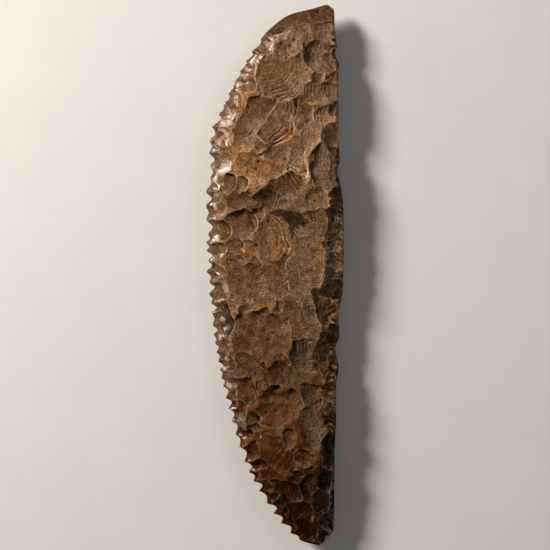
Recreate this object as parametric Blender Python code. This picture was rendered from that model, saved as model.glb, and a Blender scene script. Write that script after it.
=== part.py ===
"""A long bifacially flaked stone saw blade, lying flat with its flatter face down.

Frame: +Y runs to the obliquely snapped end, +X to the blunt back, -X to the toothed cutting edge, +Z up
out of the more finely worked face. The origin is under the middle of the blade, on the surface it lies on.
The faces are carved scar by scar, as the stone was, on a fine raster in millimetres; the solid is then
a faceted skin over those two rasters, in metres.
"""

import math

import bmesh
import bpy
import numpy as np

MM = 0.001

# ---- driving dimensions, in millimetres ---------------------------------------------------------
LENGTH = 150.0
HALF = LENGTH / 2
RIM_HEIGHT = 4.4  # the edge all round lies this far above the resting face
RIM_WAVE = 0.25  # the edge wanders up and down by this much
RIM_LONG, RIM_SHORT = 11.0, 3.1  # pace of the long and short waves of that wander
TOP = 10.4  # nothing stands higher than this above the resting face
UNDERSIDE_BULGE = 5.0  # untrimmed depth of the underside below the edge, before the resting flat
UNDER_REACH = 75.3  # where that bulge would run out at each end
UNDER_CAMBER = 0.5  # share of the bulge lost at the two edges
UNDER_START, UNDER_SPACING = 70.0, 1.35  # first broad scar, and the next one, in half widths
UNDER_TOOTH_SLOPE, UNDER_BACK_SLOPE, UNDER_BACK_STEP = 0.9, 1.1, 0.3
MIDDLE = 0.15  # the blade's axis, across the plan
SEAT_REACH = 17.75  # how far the trimmed seat on the back stands out in the plan
SEAT_SPAN = (37.0, 57.0)  # where that seat starts and ends along the blade
BACK_BLUFF = 6.0  # how steeply the blunt back stands up from the edge
TOP_CELL, UNDER_CELL = 0.13, 0.24  # raster spacing
RASTER_REACH = (20.4, 75.6)  # how far the rasters run across and along
ROWS, TOP_COLUMNS, UNDER_COLUMNS = 620, 130, 36
COLUMN_CROWDING = 0.03  # the columns stand a little closer together at the two edges
MOST_TRIANGLES = 9600

# how a flake scar is shaped
SCAR_DEPTH = 2.0
SCAR_FLATNESS = 2.3  # larger is a flatter floor with a steeper rim
SCAR_WALL = 1.3
OUTLINE_WANDER = ((0.3, 5.0), (0.1, 1.8))  # scar outlines wander by so much, over lumps so wide
WALL_LUMP = 3.5  # the far walls of scars come and go over lumps this wide
EDGE_SAMPLES = 56  # points round a scar's outline that its floor hangs from
EDGE_SETTLE = 0.8  # scars at the edge die out over this distance from it
NOTCH_HOLLOW = 0.32  # hollow of the short scar behind each gap between two teeth
CHIP_SPAN = (-72.0, 73.0)  # where the chips of the blunt back end and start
BROAD_BENCH = 2.0  # where its bench is broader than this, there is a second row of chips
LEAST_SLOPE, LEAST_REACH = 0.2, 3.0  # each face rises at least this steeply, this far in from the edge

# The plan, as (distance along the blade, reach across it), through the tips of the teeth on the left.
CUTTING_EDGE = [
    (75, 14.2), (73.8, 10), (72.5, 4.8), (70, 0.7), (65.3, -4), (56.5, -9.6), (46.5, -14.6),
    (38.5, -18), (34, -18.1), (31, -17.75), (26.5, -17.75), (23.2, -19), (19.2, -19), (15.5, -18.9),
    (11.3, -18.4), (9, -18.9), (6.8, -18.8), (4, -18.3), (1, -18.8), (-2, -18), (-5.2, -18.2),
    (-8, -17.5), (-14, -17.1), (-26, -15.2), (-42, -11.4), (-54, -7.4), (-63, -2.3), (-70, 2.8),
    (-74, 8), (-75, 11.8),
]
BACK_EDGE = [
    (75, 14.8), (73.6, 16.5), (68, 16.8), (63.5, 17.3), (61.5, 16.8), (58.5, 17.9), (50, 18.1),
    (36, 17.9), (31.7, 18.1), (28.9, 17.4), (25.5, 18.2), (19, 19.1), (10, 19.3), (-3, 19),
    (-12.6, 17.8), (-16.5, 18.1), (-20.5, 16.9), (-25.6, 17.8), (-31, 17.1), (-41, 17.1),
    (-46, 16.8), (-60, 16.6), (-70.5, 16.5), (-73, 14.8), (-75, 12.4),
]
TOP_RISE = [(75, 3), (66, 4.2), (50, 4.9), (20, 5.7), (-10, 5.9), (-40, 5.3), (-60, 4.2), (-75, 2.6)]
BACK_BEVEL = [
    (75, 1.2), (60, 0.8), (45, 0.9), (35, 1.2), (24, 1), (20, 3.2), (17, 4.4), (0, 5),
    (-10, 4.6), (-20, 5.4), (-29, 3.2), (-40, 2.4), (-47, 1.6), (-55, 1), (-63, 1), (-70, 2.4), (-75, 2.6),
]
# height of the dome across the blade, from the cutting edge (0) to the back (1)
CROWN = [(0, 0.46), (0.1, 0.55), (0.25, 0.74), (0.45, 0.93), (0.6, 1), (0.72, 1), (0.86, 0.93), (1, 0.82)]
# slope of the toothed edge, along the blade
EDGE_SLOPE = [(75, 0.7), (60, 0.62), (40, 0.62), (0, 0.66), (-25, 0.75), (-40, 0.82), (-60, 0.8), (-75, 0.7)]
# height of the bench that trims the back, against the share of its width from the edge
BACK_BENCH = [(0, 0.5), (0.3, 0.56), (0.8, 0.7), (0.93, 0.76), (1.02, 1), (1.2, 1.6), (2, 4)]
BACK_LIFT = [(-24, 0), (-32, 0.36), (-43, 0.36), (-47, 0)]  # where that bench is flatter
# the snapped end: its outline and the ridge where its face meets the blade, as (across, along)
END_OUTLINE = [(-4, 65.3), (0.7, 70), (4.8, 72.5), (10, 73.8), (14.2, 75), (16.5, 74.6), (20, 74)]
END_RIDGE = [(-4, 65), (0, 66.4), (4, 67.7), (8, 69.2), (11, 69.6), (14, 69.9), (16.6, 69.5), (20, 69)]
END_HEIGHT = 3.1
END_LEAST = 0.4  # the end face is never narrower than this
END_START = 62.0  # it reaches no further down the blade than this

# the point: the upper face thins out over its last stretch, and is cut off obliquely
POINT_PLACE, POINT_STRETCH, POINT_FULLNESS = -76.0, 12.0, 0.7
POINT_START, POINT_TIP, POINT_SLOPE = -60.0, -75.2, 1.2
EDGE_EASING, EDGE_BREADTH = 0.02, 12.0  # the toothed edge's slope eases off inwards
UNEVENNESS = 0.1  # of the toothed edge's slope, over lumps of UNEVEN_SIZE
UNEVEN_SIZE = 8.0
DOME_LUMP, DOME_LUMP_SIZE = 0.08, 10.0

# The places along the blade of the teeth of the cutting edge, from the snapped end down.
TOOTH_TIPS = [
    65.5, 62.1, 59.4, 56.6, 53.8, 50.5, 47.5, 44.7, 41.3, 37.3, 33.9, 30.3, 26.9, 23.2, 19.2, 15.5,
    11.3, 9, 6.8, 4, 1, -2, -5.2, -7.8, -10.5, -14, -16.7, -19, -21.5, -24, -26.4, -28.6, -30.9,
    -34.2, -37.2, -40.6, -44.4, -47.8, -51.9, -54.8, -57.3, -60, -63.5, -66.3, -69, -71.8, -73.5,
]
# How deep each gap between two teeth is, against its neighbours.
NOTCH_SHARE = [
    1.2, 1.1, 0.6, 0.8, 0.6, 1.0, 0.6, 1.3, 1.5, 0.7, 1.2, 0.7, 0.45, 1.5, 0.65, 1.3,
    0.6, 0.7, 1.2, 1.0, 0.65, 1.3, 0.6, 1.3, 0.5, 1.1, 0.45, 0.8, 0.65, 1.0, 0.5, 0.7, 1.1,
    1.25, 1.1, 1.0, 0.75, 1.2, 1.2, 0.8, 1.3, 0.8, 1.3, 1.1, 1.2, 0.8,
]
NOTCH_DEPTH = [(70, 0.6), (60, 0.65), (40, 0.9), (10, 1.1), (-25, 1), (-50, 1.15), (-66, 1.25), (-75, 0.7)]
NOTCH_LEAN = [(70, 0.75), (45, 0.9), (20, 1), (-15, 0.85), (-45, 0.65), (-75, 0.65)]
TIP_ROUNDING = [(75, 1.3), (45, 1.5), (30, 2.1), (-15, 2.1), (-45, 1.5), (-75, 1.3)]
NOTCH_FADE = 1.6  # the gaps between the teeth fade out over this distance in from the edge

# Flake scars in the order they were struck: across, along, heading in degrees, half length, half
# width, hollow at the middle, extra drop towards the far end, and widening along the heading.
BODY_SCARS = [
    (11, 66.5, 180, 8.2, 4.8, 0.3, 0, 0), (6.9, 46.6, -82, 4.4, 1.7, 0.3, 0, 0),
    (8.9, 45.6, -80, 4.2, 1.6, 0.3, 0, 0), (0.8, 43.8, -20, 6, 5.3, 0.5, 0, 0),
    (-6.3, 29.3, -3, 10, 4.8, 0.5, 0, 0), (0.4, 34.4, 0, 3.8, 2.9, 0.35, 0, 0),
    (-8.2, 37.2, 10, 4.4, 3.3, 0.5, 0.15, 0), (0, 41, -35, 5.3, 5.3, 0.55, 0.35, 0),
    (-6.2, 44.2, 47, 7.3, 4.0, 0.6, 0.3, 0), (1.2, 56, -50, 8.5, 7.2, 0.8, 0, 0),
    (2.6, 63, -20, 4.4, 2.5, 0.25, 0, 0), (8.2, 57.4, 90, 4.7, 2.6, 0.3, 0, 0),
    (13.8, 61.2, 180, 5.7, 5.6, 0.6, 0.2, 0), (15.2, 68.2, 180, 5.4, 4.1, 0.3, 0, 0),
    (17, 59.5, 180, 3.2, 2.7, 0.35, 0, 0), (12.9, 50.5, 180, 4.8, 3.7, 0.4, 0, 0),
    (16.8, 50.9, 180, 4, 3.7, 0.35, 0, 0), (11.6, 54.5, 180, 1.9, 1.8, 0.25, 0, 0),
    (16.9, 55.3, 178, 3.4, 1.8, 0.25, 0, -0.5), (8.7, 33.6, -112, 9.2, 4.6, 0.35, 0, 0),
    (15, 29.8, 180, 5.8, 7.4, 0.5, 0.3, 0), (17.6, 29.6, 180, 2.8, 5.6, 0.3, 0, 0),
    (14.8, 44, 180, 4.5, 2.8, 0.4, 0, 0), (17, 46, 200, 1.9, 1.6, 0.35, 0, 0),
    (17.6, 38.3, 185, 4.5, 4.4, 1.3, 0, 0), (18.3, 21.9, 180, 2.5, 2.9, 1.3, 0, 0),
    (12.1, 20.6, 215, 4, 3.8, 0.3, 0, 0), (12.2, 16.4, 180, 3.4, 2.1, 0.25, 0, 0),
    (0, 21.4, 36, 9.4, 4.5, 0.5, 0, 0), (-1.6, 21.4, -20, 3.6, 2.7, 0.35, 0, 0),
    (-10.4, 20.8, 0, 6.2, 2.7, 0.45, 0, 0), (2.4, 10.4, 5, 8.2, 7.8, 0.6, 0, 0),
    (8.9, 3.4, 80, 11.2, 5.6, 0.3, 0, 0), (-0.6, 10.5, 15, 5.5, 6.7, 0.55, 0, 0),
    (-4.4, 16.8, -30, 1.8, 1.8, 0.4, 0, 0), (-10.2, 13, 50, 5.9, 4.7, 0.6, 0.45, 0),
    (-7.2, 6.6, -10, 3.8, 3, 0.3, 0, 0), (-10.8, 8.2, 0, 2.8, 2.3, 0.35, 0.25, 0),
    (-9.3, 24.9, 40, 2.3, 2.1, 0.3, 0.4, -0.2), (-14.2, 25, 30, 3.6, 3.0, 0.3, 0.5, 0),
    (-11.6, 3.2, 75, 3, 4, 0.35, 0.3, 0), (-5.4, 3.3, -60, 2.2, 1.8, 0.3, 0, 0),
    (-5.6, -3.2, 0, 9.6, 6.9, 0.45, 0, 0), (3.5, -13.6, 75, 6.6, 5.6, 0.3, 0, 0),
    (-4.4, -17.4, 88, 8, 9.4, 0.6, 0.45, 0), (11, -13.6, -78, 7.9, 3.4, 0.35, 0, 0),
    (14, -9, -63, 6, 2.7, 0.7, 0, 0), (8, -23.8, 95, 6.4, 3.7, 0.45, 0.25, 0),
    (-8, -25.7, 0, 6.4, 4.1, 0.4, 0, 0), (2, -23.8, -20, 2.8, 1.9, 0.3, 0, 0),
    (1.4, -27.8, 0, 4.7, 3.7, 0.4, 0, 0), (1.6, -36, 85, 5.2, 6.6, 0.5, 0.5, 0),
    (-9.3, -32.5, 5, 4.9, 4.2, 0.6, 0.8, 0), (-0.6, -38.6, 0, 5.2, 3.5, 0.35, 0, 0),
    (-5.6, -39.9, -10, 2.1, 2.2, 0.35, 0.4, 0), (-10.2, -37.6, -5, 2.7, 3, 0.4, 0.4, 0),
    (-6.4, -42.7, 10, 2.7, 2, 0.35, 0.2, 0), (10.3, -33.6, -70, 4, 2.8, 0.5, 0.15, -0.3),
    (10.4, -42.6, -80, 6.6, 3.6, 0.3, 0, 0), (12.6, -30.7, -20, 2.2, 1.1, 0.25, 0, 0),
    (-1.5, -49.3, -28, 8.3, 5, 0.5, 0, 0), (3.9, -45.8, 80, 2.9, 2.3, 0.22, 0.12, 0),
    (8.3, -50.8, 90, 2.6, 2.9, 0.2, 0.12, 0), (10.4, -59.4, 180, 3, 4.6, 0.45, 0, 0),
    (-2.2, -55.7, -10, 5, 3, 0.4, 0, 0), (5.7, -56.6, -20, 2.4, 1.5, 0.25, 0, 0),
    (3.4, -59.7, -10, 4.3, 2.8, 0.4, 0.35, 0), (13.9, -62.7, 180, 3.7, 3.5, 0.4, 0, 0),
    (14.6, -57.2, 180, 2.9, 3.6, 0.5, 0, 0), (5.8, -66, -35, 5.3, 4.1, 0.5, 0.2, 0),
    (8.2, -71.4, -60, 3.4, 3.5, 0.4, 0, 0),
]

# Short scars struck in from the blunt back, over the bench that trims it.
BACK_SCARS = [
    (17, 63, 180, 2.2, 1.1, 0.3, 0, 0), (17.1, 34.3, 150, 2.2, 1.3, 0.4, 0, 0),
    (16.6, 17, 180, 2.9, 2.1, 0.4, 0, 0), (17.2, 10.6, 180, 3, 4.7, 0.45, 0, 0),
    (16.7, 3.4, 180, 3, 2.9, 0.4, 0, 0), (17.2, -0.6, 180, 2.4, 1.6, 0.3, 0, 0),
    (16.4, -4.7, 180, 3.7, 3, 0.5, 0, 0), (15.3, -11, 182, 3.3, 3.8, 0.45, 0, 0),
    (16.6, -17.2, 180, 2.8, 2.8, 0.4, 0, 0), (14.8, -24.2, 180, 4.3, 5.4, 0.6, 0, 0),
    (16.4, -30, 180, 1.8, 2.2, 0.35, 0, 0), (15.4, -37.4, 180, 2.8, 5.3, 0.3, 0, 0),
    (15.8, -49, 180, 3.1, 4.9, 0.7, 0.15, 0), (15, -68.4, 180, 2.7, 2.7, 0.5, 0.2, 0),
    (13.8, -73, -60, 2.6, 1.6, 0.3, 0, 0),
]

# Scars on the face of the snapped end.
END_SCARS = [
    (3, 69.9, 30, 5, 1.7, 0.2, 0, 0), (12.6, 72.4, 8, 4.1, 1.9, 0.15, 0, 0),
]

# Small scars along the toothed edge.
EDGE_SCARS = [
    (-3.3, 63.6, 15, 3.3, 2.4, 0.4, 0.5, 0), (-7.5, 57.5, 5, 2.7, 2.2, 0.4, 0.2, 0),
    (-7.8, 52.8, 5, 2.9, 2.5, 0.4, 0.2, 0), (-11.2, 48.4, 0, 2.6, 2.6, 0.35, 0, 0),
    (-13, 43.2, 0, 2.4, 2.8, 0.35, 0.25, 0), (-14.6, 38.4, 0, 2.6, 2.8, 0.4, 0.35, 0),
    (-15.4, 29.8, 0, 3, 2, 0.3, 0, 0), (-16.4, 21.2, 0, 2.2, 1.9, 0.35, 0, 0),
    (-16.2, 17.4, 0, 2.6, 2, 0.35, 0, 0), (-15.3, 12.3, 5, 3.3, 2.9, 0.45, 0.35, 0),
    (-16, 7, 20, 3, 2.2, 0.4, 0.2, 0), (-15.8, 1.2, -10, 2.8, 2, 0.4, 0, 0),
    (-15.2, -4.6, -25, 2.9, 2.3, 0.45, 0.5, 0), (-13.9, -12.4, 0, 2.8, 4.8, 0.5, 0.5, 0),
    (-14, -19.6, -10, 2, 2.6, 0.4, 0.4, 0), (-13.3, -24.4, -5, 2.3, 2.2, 0.4, 0.4, 0),
    (-12.6, -29.6, 0, 2.8, 1.8, 0.35, 0, 0), (-8.6, -44.2, 20, 2.4, 1.8, 0.35, 0.2, 0),
    (-6, -48.6, 10, 2.4, 2.4, 0.35, 0, 0), (-4.6, -52.6, 0, 2.6, 1.6, 0.35, 0.2, 0),
    (-2.8, -58.6, 10, 2.6, 1.9, 0.4, 0.2, 0), (-0.8, -62.2, 10, 1.8, 1.7, 0.4, 0.2, 0),
    (2, -64.8, 10, 2, 1.9, 0.4, 0.2, 0), (3.6, -68.8, 20, 2.2, 1.6, 0.4, 0.2, 0),
    (6, -72.4, 40, 1.8, 1.6, 0.35, 0, 0),
]


# ---- curves and fields --------------------------------------------------------------------------
def through(points, along):
    """A smooth curve through (place, value) pairs that never overshoots them."""
    pairs = sorted(points)
    place = np.array([p for p, _ in pairs], float)
    value = np.array([v for _, v in pairs], float)
    gap = np.diff(place)
    rate = np.diff(value) / gap
    slope = np.zeros_like(value)
    for k in range(1, len(value) - 1):
        if rate[k - 1] * rate[k] > 0:
            before = 2 * gap[k] + gap[k - 1]
            after = gap[k] + 2 * gap[k - 1]
            slope[k] = (before + after) / (before / rate[k - 1] + after / rate[k])
    slope[0], slope[-1] = rate[0], rate[-1]
    along = np.clip(along, place[0], place[-1])
    k = np.clip(np.searchsorted(place, along) - 1, 0, len(gap) - 1)
    t = (along - place[k]) / gap[k]
    start = (1 + 2 * t) * (1 - t) ** 2 * value[k] + t * (1 - t) ** 2 * gap[k] * slope[k]
    finish = t * t * (3 - 2 * t) * value[k + 1] + t * t * (t - 1) * gap[k] * slope[k + 1]
    return start + finish


def ease(low, high, x):
    t = np.clip((x - low) / (high - low), 0, 1)
    return t * t * (3 - 2 * t)


def grain(shape, cell, size, seed):
    """A smooth seeded random field over a raster, whose lumps are about `size` millimetres across."""
    rng = np.random.default_rng(seed)
    white = np.fft.rfft2(rng.standard_normal(shape))
    fy = np.fft.fftfreq(shape[0], cell)[:, None]
    fx = np.fft.rfftfreq(shape[1], cell)[None]
    band = (np.hypot(fx, fy) * size - 0.6) ** 2 / 0.12
    field = np.fft.irfft2(white * np.exp(-band), shape)
    return field / field.std()


def membrane(x, y, edge_x, edge_y, edge_height):
    """A smooth sheet over a closed outline, at the outline's own heights (mean value coordinates)."""
    dx = edge_x - x[:, None]
    dy = edge_y - y[:, None]
    r = np.hypot(dx, dy) + 1e-6
    next_x, next_y, next_r = (np.roll(a, -1, axis=1) for a in (dx, dy, r))
    cross = dx * next_y - dy * next_x
    dot = dx * next_x + dy * next_y
    cross = np.where(np.abs(cross) < 1e-7, 1e-7, cross)
    half = (r * next_r - dot) / cross
    weight = (half + np.roll(half, 1, axis=1)) / r
    return (weight * edge_height).sum(1) / weight.sum(1)


# ---- the plan: its two edges, and the notches between the teeth ----------------------------------
class Plan:
    """The outline at each place along the blade."""

    def __init__(self, along):
        self.along = along
        fine = np.linspace(HALF, -HALF, 3001)
        self.left = through(CUTTING_EDGE, along)
        self.right = through(BACK_EDGE, along)
        self.left_slope = np.interp(-along, -fine, np.gradient(through(CUTTING_EDGE, fine), fine))
        self.right_slope = np.interp(-along, -fine, np.gradient(through(BACK_EDGE, fine), fine))
        tips = np.array(TOOTH_TIPS)
        gap = np.clip(np.searchsorted(-tips, -along), 1, len(tips) - 1)
        share = np.clip((tips[gap - 1] - along) / (tips[gap - 1] - tips[gap]), 0, 1)
        share = np.where(along > tips[0], 0, share)
        wave = np.sin(math.pi * share ** through(NOTCH_LEAN, along))
        scallop = np.clip(wave, 0, 1) ** through(TIP_ROUNDING, along)
        self.notch = np.array(NOTCH_SHARE)[gap - 1] * through(NOTCH_DEPTH, along) * scallop
        self.notched = self.left + self.notch * np.sqrt(1 + self.left_slope**2)
        self.rim = RIM_HEIGHT + RIM_WAVE * (np.sin(along / RIM_LONG) + 0.4 * np.sin(along / RIM_SHORT))

    def distances(self, x):
        """How far each point is in from the notched rim and from the back."""
        from_left = (x - self.left[:, None]) / np.sqrt(1 + self.left_slope**2)[:, None]
        from_back = (self.right[:, None] - x) / np.sqrt(1 + self.right_slope**2)[:, None]
        notch = self.notch[:, None]
        inset = notch * np.exp(-np.clip(from_left, 0, None) / NOTCH_FADE)
        settle = (notch - notch * np.exp(-notch / NOTCH_FADE)) * np.exp(-np.clip(from_left - notch, 0, None))
        return from_left - inset - settle, from_back


def row_places():
    """Places along the blade, closer together where the cutting edge turns across it."""
    fine = np.linspace(HALF, -HALF, 4001)
    edge = through(CUTTING_EDGE, fine)
    run = np.concatenate([[0], np.cumsum(np.hypot(np.diff(fine), np.diff(edge)))])
    return np.interp(np.linspace(0, run[-1], ROWS), run, fine)


# ---- one face of the blade, carved on a raster ---------------------------------------------------
class Relief:
    """Height of one face above the edge of the blade."""

    def __init__(self, cell, seed):
        self.cell = cell
        self.xs = np.arange(-RASTER_REACH[0], RASTER_REACH[0], cell)
        self.ys = np.arange(RASTER_REACH[1], -RASTER_REACH[1], -cell)
        self.plan = Plan(self.ys)
        self.x = np.repeat(self.xs[None], len(self.ys), axis=0)
        self.y = np.repeat(self.ys[:, None], len(self.xs), axis=1)
        self.from_rim, self.from_back = self.plan.distances(self.x)
        inside = np.clip(np.minimum(self.from_rim, self.from_back), 0, None)
        self.inside = inside * (np.abs(self.y) < HALF)
        self.settled = 1 - np.exp(-((self.inside / EDGE_SETTLE) ** 1.3))
        shape = self.x.shape
        (broad, broad_size), (narrow, narrow_size) = OUTLINE_WANDER
        self.warp_x = broad * grain(shape, cell, broad_size, seed)
        self.warp_x += narrow * grain(shape, cell, narrow_size, seed + 1)
        self.warp_y = broad * grain(shape, cell, broad_size, seed + 2)
        self.warp_y += narrow * grain(shape, cell, narrow_size, seed + 3)
        self.break_up = np.clip(0.85 + 0.35 * grain(shape, cell, WALL_LUMP, seed + 5), 0.1, 1.5)
        self.height = np.zeros_like(self.x)

    def read(self, field, x, y):
        """A field between the points of the raster."""
        col = np.clip((x - self.xs[0]) / self.cell, 0, len(self.xs) - 1.001)
        row = np.clip((self.ys[0] - y) / self.cell, 0, len(self.ys) - 1.001)
        c, r = col.astype(int), row.astype(int)
        fc, fr = col - c, row - r
        upper = field[r, c] * (1 - fc) + field[r, c + 1] * fc
        lower = field[r + 1, c] * (1 - fc) + field[r + 1, c + 1] * fc
        return upper * (1 - fr) + lower * fr

    def window(self, across, along, reach):
        """The rows and columns of the raster within reach of a point."""
        top = int((self.ys[0] - along - reach) / self.cell)
        left = int((across - reach - self.xs[0]) / self.cell)
        size = int(2 * reach / self.cell) + 2
        rows = slice(max(top, 0), min(top + size, len(self.ys)))
        cols = slice(max(left, 0), min(left + size, len(self.xs)))
        return rows, cols

    def cut(self, across, along, heading, half_length, half_width, depth, wall=0.0, taper=0.0, at_edge=False):
        """One flake scar: a dished floor hung on the surface along the scar's own outline."""
        c, s = math.cos(math.radians(heading)), math.sin(math.radians(heading))
        reach = 1.3 * max(half_length, half_width * (1 + abs(taper))) + 0.8
        rows, cols = self.window(across, along, reach)
        x = self.x[rows, cols] + self.warp_x[rows, cols]
        y = self.y[rows, cols] + self.warp_y[rows, cols]
        u = ((x - across) * c + (y - along) * s) / half_length
        v = ((y - along) * c - (x - across) * s) / (half_width * np.clip(1 + taper * u, 0.05, None))
        r = np.hypot(u, v)
        hit = (r < 1) & ((self.inside[rows, cols] > 0) | (not at_edge))
        if not hit.any():
            return
        turn = np.linspace(0, 2 * math.pi, EDGE_SAMPLES, endpoint=False)
        edge_u = np.cos(turn)
        edge_v = np.sin(turn) * half_width * (1 + taper * edge_u)
        sheet_x = across + edge_u * half_length * c - edge_v * s
        sheet_y = along + edge_u * half_length * s + edge_v * c
        edge_x, edge_y = sheet_x, sheet_y
        for _ in range(2):
            nudge_x = self.read(self.warp_x, edge_x, edge_y)
            nudge_y = self.read(self.warp_y, edge_x, edge_y)
            edge_x, edge_y = sheet_x - nudge_x, sheet_y - nudge_y
        if at_edge:
            edge_y = np.clip(edge_y, 0.1 - HALF, HALF - 0.1)
            low = np.interp(-edge_y, -self.ys, self.plan.notched)
            high = np.interp(-edge_y, -self.ys, self.plan.right)
            off = (edge_x <= low) | (edge_x >= high)
            sheet_x = sheet_x + np.clip(edge_x, low, high) - edge_x
            edge_height = np.where(off, 0, self.read(self.height, edge_x, edge_y))
        else:
            edge_height = self.read(self.height, edge_x, edge_y)
        sheet = membrane(x[hit], y[hit], sheet_x, sheet_y, edge_height)
        sheet = np.clip(sheet, edge_height.min(), edge_height.max())
        settled = self.settled[rows, cols] if at_edge else np.ones_like(u)
        drop = SCAR_DEPTH * depth * (1 - r**SCAR_FLATNESS)
        drop += SCAR_WALL * wall * self.break_up[rows, cols] * ease(0.0, 0.85, u) * (1 - ease(0.9, 1.0, r))
        block = self.height[rows, cols]
        block[hit] = np.maximum(sheet - (drop * settled)[hit], 0)

    def trim(self, face):
        """Cuts the surface back to a face that comes up from the rim."""
        self.height = np.minimum(self.height, face)

    def close_rim(self):
        """Brings the height down to nothing at the outline."""
        self.height = np.clip(self.height, 0, None) * (self.inside > 0)

    def thicken(self):
        """Keeps some stone everywhere behind the thin edge."""
        self.height = np.maximum(self.height, LEAST_SLOPE * np.minimum(self.inside, LEAST_REACH))


def tooth_notches(relief, seed):
    """A short scar runs in from each gap between two teeth."""
    rng = np.random.default_rng(seed)
    for upper, lower in zip(TOOTH_TIPS[:-1], TOOTH_TIPS[1:]):
        gap = upper - lower
        middle = upper - gap * (0.5 + 0.08 * rng.random())  # a little below the half way
        edge = float(np.interp(-middle, -relief.ys, relief.plan.notched))
        slope = float(np.interp(-middle, -relief.ys, relief.plan.left_slope))
        heading = -math.degrees(math.atan(slope)) + 16 * (rng.random() - 0.5)
        length = 1.0 + 0.2 * gap * (0.5 + rng.random())
        wall = 0.12 * rng.random()
        half_length, half_width = length + 0.5, 0.5 * gap + 0.15
        relief.cut(edge - 0.1, middle, heading, half_length, half_width, NOTCH_HOLLOW, wall, -0.15, True)


def chip_back(relief, seed):
    """Small chips side by side down the blunt back, and a second row where the bench is broad."""
    rng = np.random.default_rng(seed)
    place = CHIP_SPAN[1]
    while place > CHIP_SPAN[0]:
        edge = float(np.interp(-place, -relief.ys, relief.plan.right))
        width = float(through(BACK_BEVEL, np.array([place]))[0])
        heading = 180 + 50 * (rng.random() - 0.5)
        length = 0.5 + 0.28 * width * (0.4 + rng.random())
        half_width = 0.5 + 0.8 * rng.random()
        depth = 0.12 + 0.12 * rng.random()
        relief.cut(edge - 0.2, place, heading, length, half_width, depth, at_edge=True)
        if width > BROAD_BENCH:
            inward = (0.3 + 0.6 * rng.random()) * width
            beside = place + rng.random()
            length = 0.8 + rng.random()
            relief.cut(edge - inward, beside, heading, length, 0.6 + 0.7 * rng.random(), 0.18, 0.1)
        place -= 0.8 + 1.2 * rng.random()


# ---- the two faces ------------------------------------------------------------------------------
def upper_face():
    relief = Relief(TOP_CELL, 3)
    x, y, plan = relief.x, relief.y, relief.plan
    share = np.clip((x - plan.left[:, None]) / (plan.right - plan.left)[:, None], 0, 1)
    dome = through(TOP_RISE, y) * through(CROWN, share)
    towards_point = 1 - np.clip((y - POINT_PLACE) / POINT_STRETCH, 0, 1)
    dome *= (1 - towards_point**2) ** POINT_FULLNESS
    relief.height = dome + DOME_LUMP * grain(x.shape, relief.cell, DOME_LUMP_SIZE, 16)
    for scar in BODY_SCARS:
        relief.cut(*scar)
    # the toothed edge, the bench of the back, the snapped end and the point cut the broad scars off
    uneven = 1 + UNEVENNESS * grain(x.shape, relief.cell, UNEVEN_SIZE, 17)
    from_rim = np.clip(relief.from_rim, 0, None)
    eased = from_rim * (1 - EDGE_EASING * np.clip(from_rim, 0, EDGE_BREADTH))
    relief.trim(through(EDGE_SLOPE, y) * eased * uneven)
    bench_share = np.clip(relief.from_back / through(BACK_BEVEL, y), 0, 2)
    lifted = (y > BACK_LIFT[-1][0]) & (y < BACK_LIFT[0][0])
    lift = np.where(lifted, through(BACK_LIFT, y), 0)
    bench = through(BACK_BENCH, bench_share) + lift * np.clip(1 - bench_share, 0, 1)
    relief.trim(through(TOP_RISE, y) * bench)
    outline_along = np.interp(x, *np.array(END_OUTLINE).T)
    ridge_along = np.interp(x, *np.array(END_RIDGE).T)
    from_end = (outline_along - y) / np.clip(outline_along - ridge_along, END_LEAST, None)
    snapped = (y > END_START) & (from_end < 1)
    relief.trim(np.where(snapped, END_HEIGHT * np.clip(from_end, 0, None), HALF))
    relief.trim(np.where(y < POINT_START, POINT_SLOPE * (y - POINT_TIP), HALF))
    for scar in BACK_SCARS:
        relief.cut(*scar)
    relief.trim(BACK_BLUFF * np.clip(relief.from_back, 0, None))
    relief.close_rim()
    for scar in END_SCARS + EDGE_SCARS:
        relief.cut(*scar, at_edge=True)
    tooth_notches(relief, 22)
    chip_back(relief, 23)
    relief.thicken()
    return relief


def under_face():
    """The underside is plainer: broad scars run in from both edges."""
    relief = Relief(UNDER_CELL, 43)
    rng = np.random.default_rng(5)
    x, y, plan = relief.x, relief.y, relief.plan
    share = np.clip((x - plan.left[:, None]) / (plan.right - plan.left)[:, None], 0, 1)
    lengthwise = np.clip(1 - (np.abs(y) / UNDER_REACH) ** 2.8, 0, None) ** 0.8
    dome = lengthwise * (1 - UNDER_CAMBER * (2 * share - 1) ** 2)
    relief.height = UNDERSIDE_BULGE * dome + UNEVENNESS * grain(x.shape, relief.cell, UNEVEN_SIZE, 61)
    for side in (-1, 1):
        place = UNDER_START
        while place > CHIP_SPAN[0]:
            edge = float(np.interp(-place, -relief.ys, plan.left if side < 0 else plan.right))
            length = 6.5 + 3.5 * rng.random()
            half_width = 4 + 2.6 * rng.random()
            heading = (0 if side < 0 else 180) + 40 * (rng.random() - 0.5)
            depth = 0.4 + 0.3 * rng.random()
            wall = 0.3 * (rng.random() > 0.6)
            relief.cut(edge - side * 0.75 * length, place, heading, length, half_width, depth, wall)
            place -= UNDER_SPACING * half_width
    from_rim = np.clip(relief.from_rim, 0, None)
    from_back = np.clip(relief.from_back, 0, None)
    relief.trim(np.minimum(UNDER_TOOTH_SLOPE * from_rim, UNDER_BACK_SLOPE * from_back + UNDER_BACK_STEP))
    relief.close_rim()
    tooth_notches(relief, 62)
    chip_back(relief, 63)
    relief.thicken()
    return relief


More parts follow.
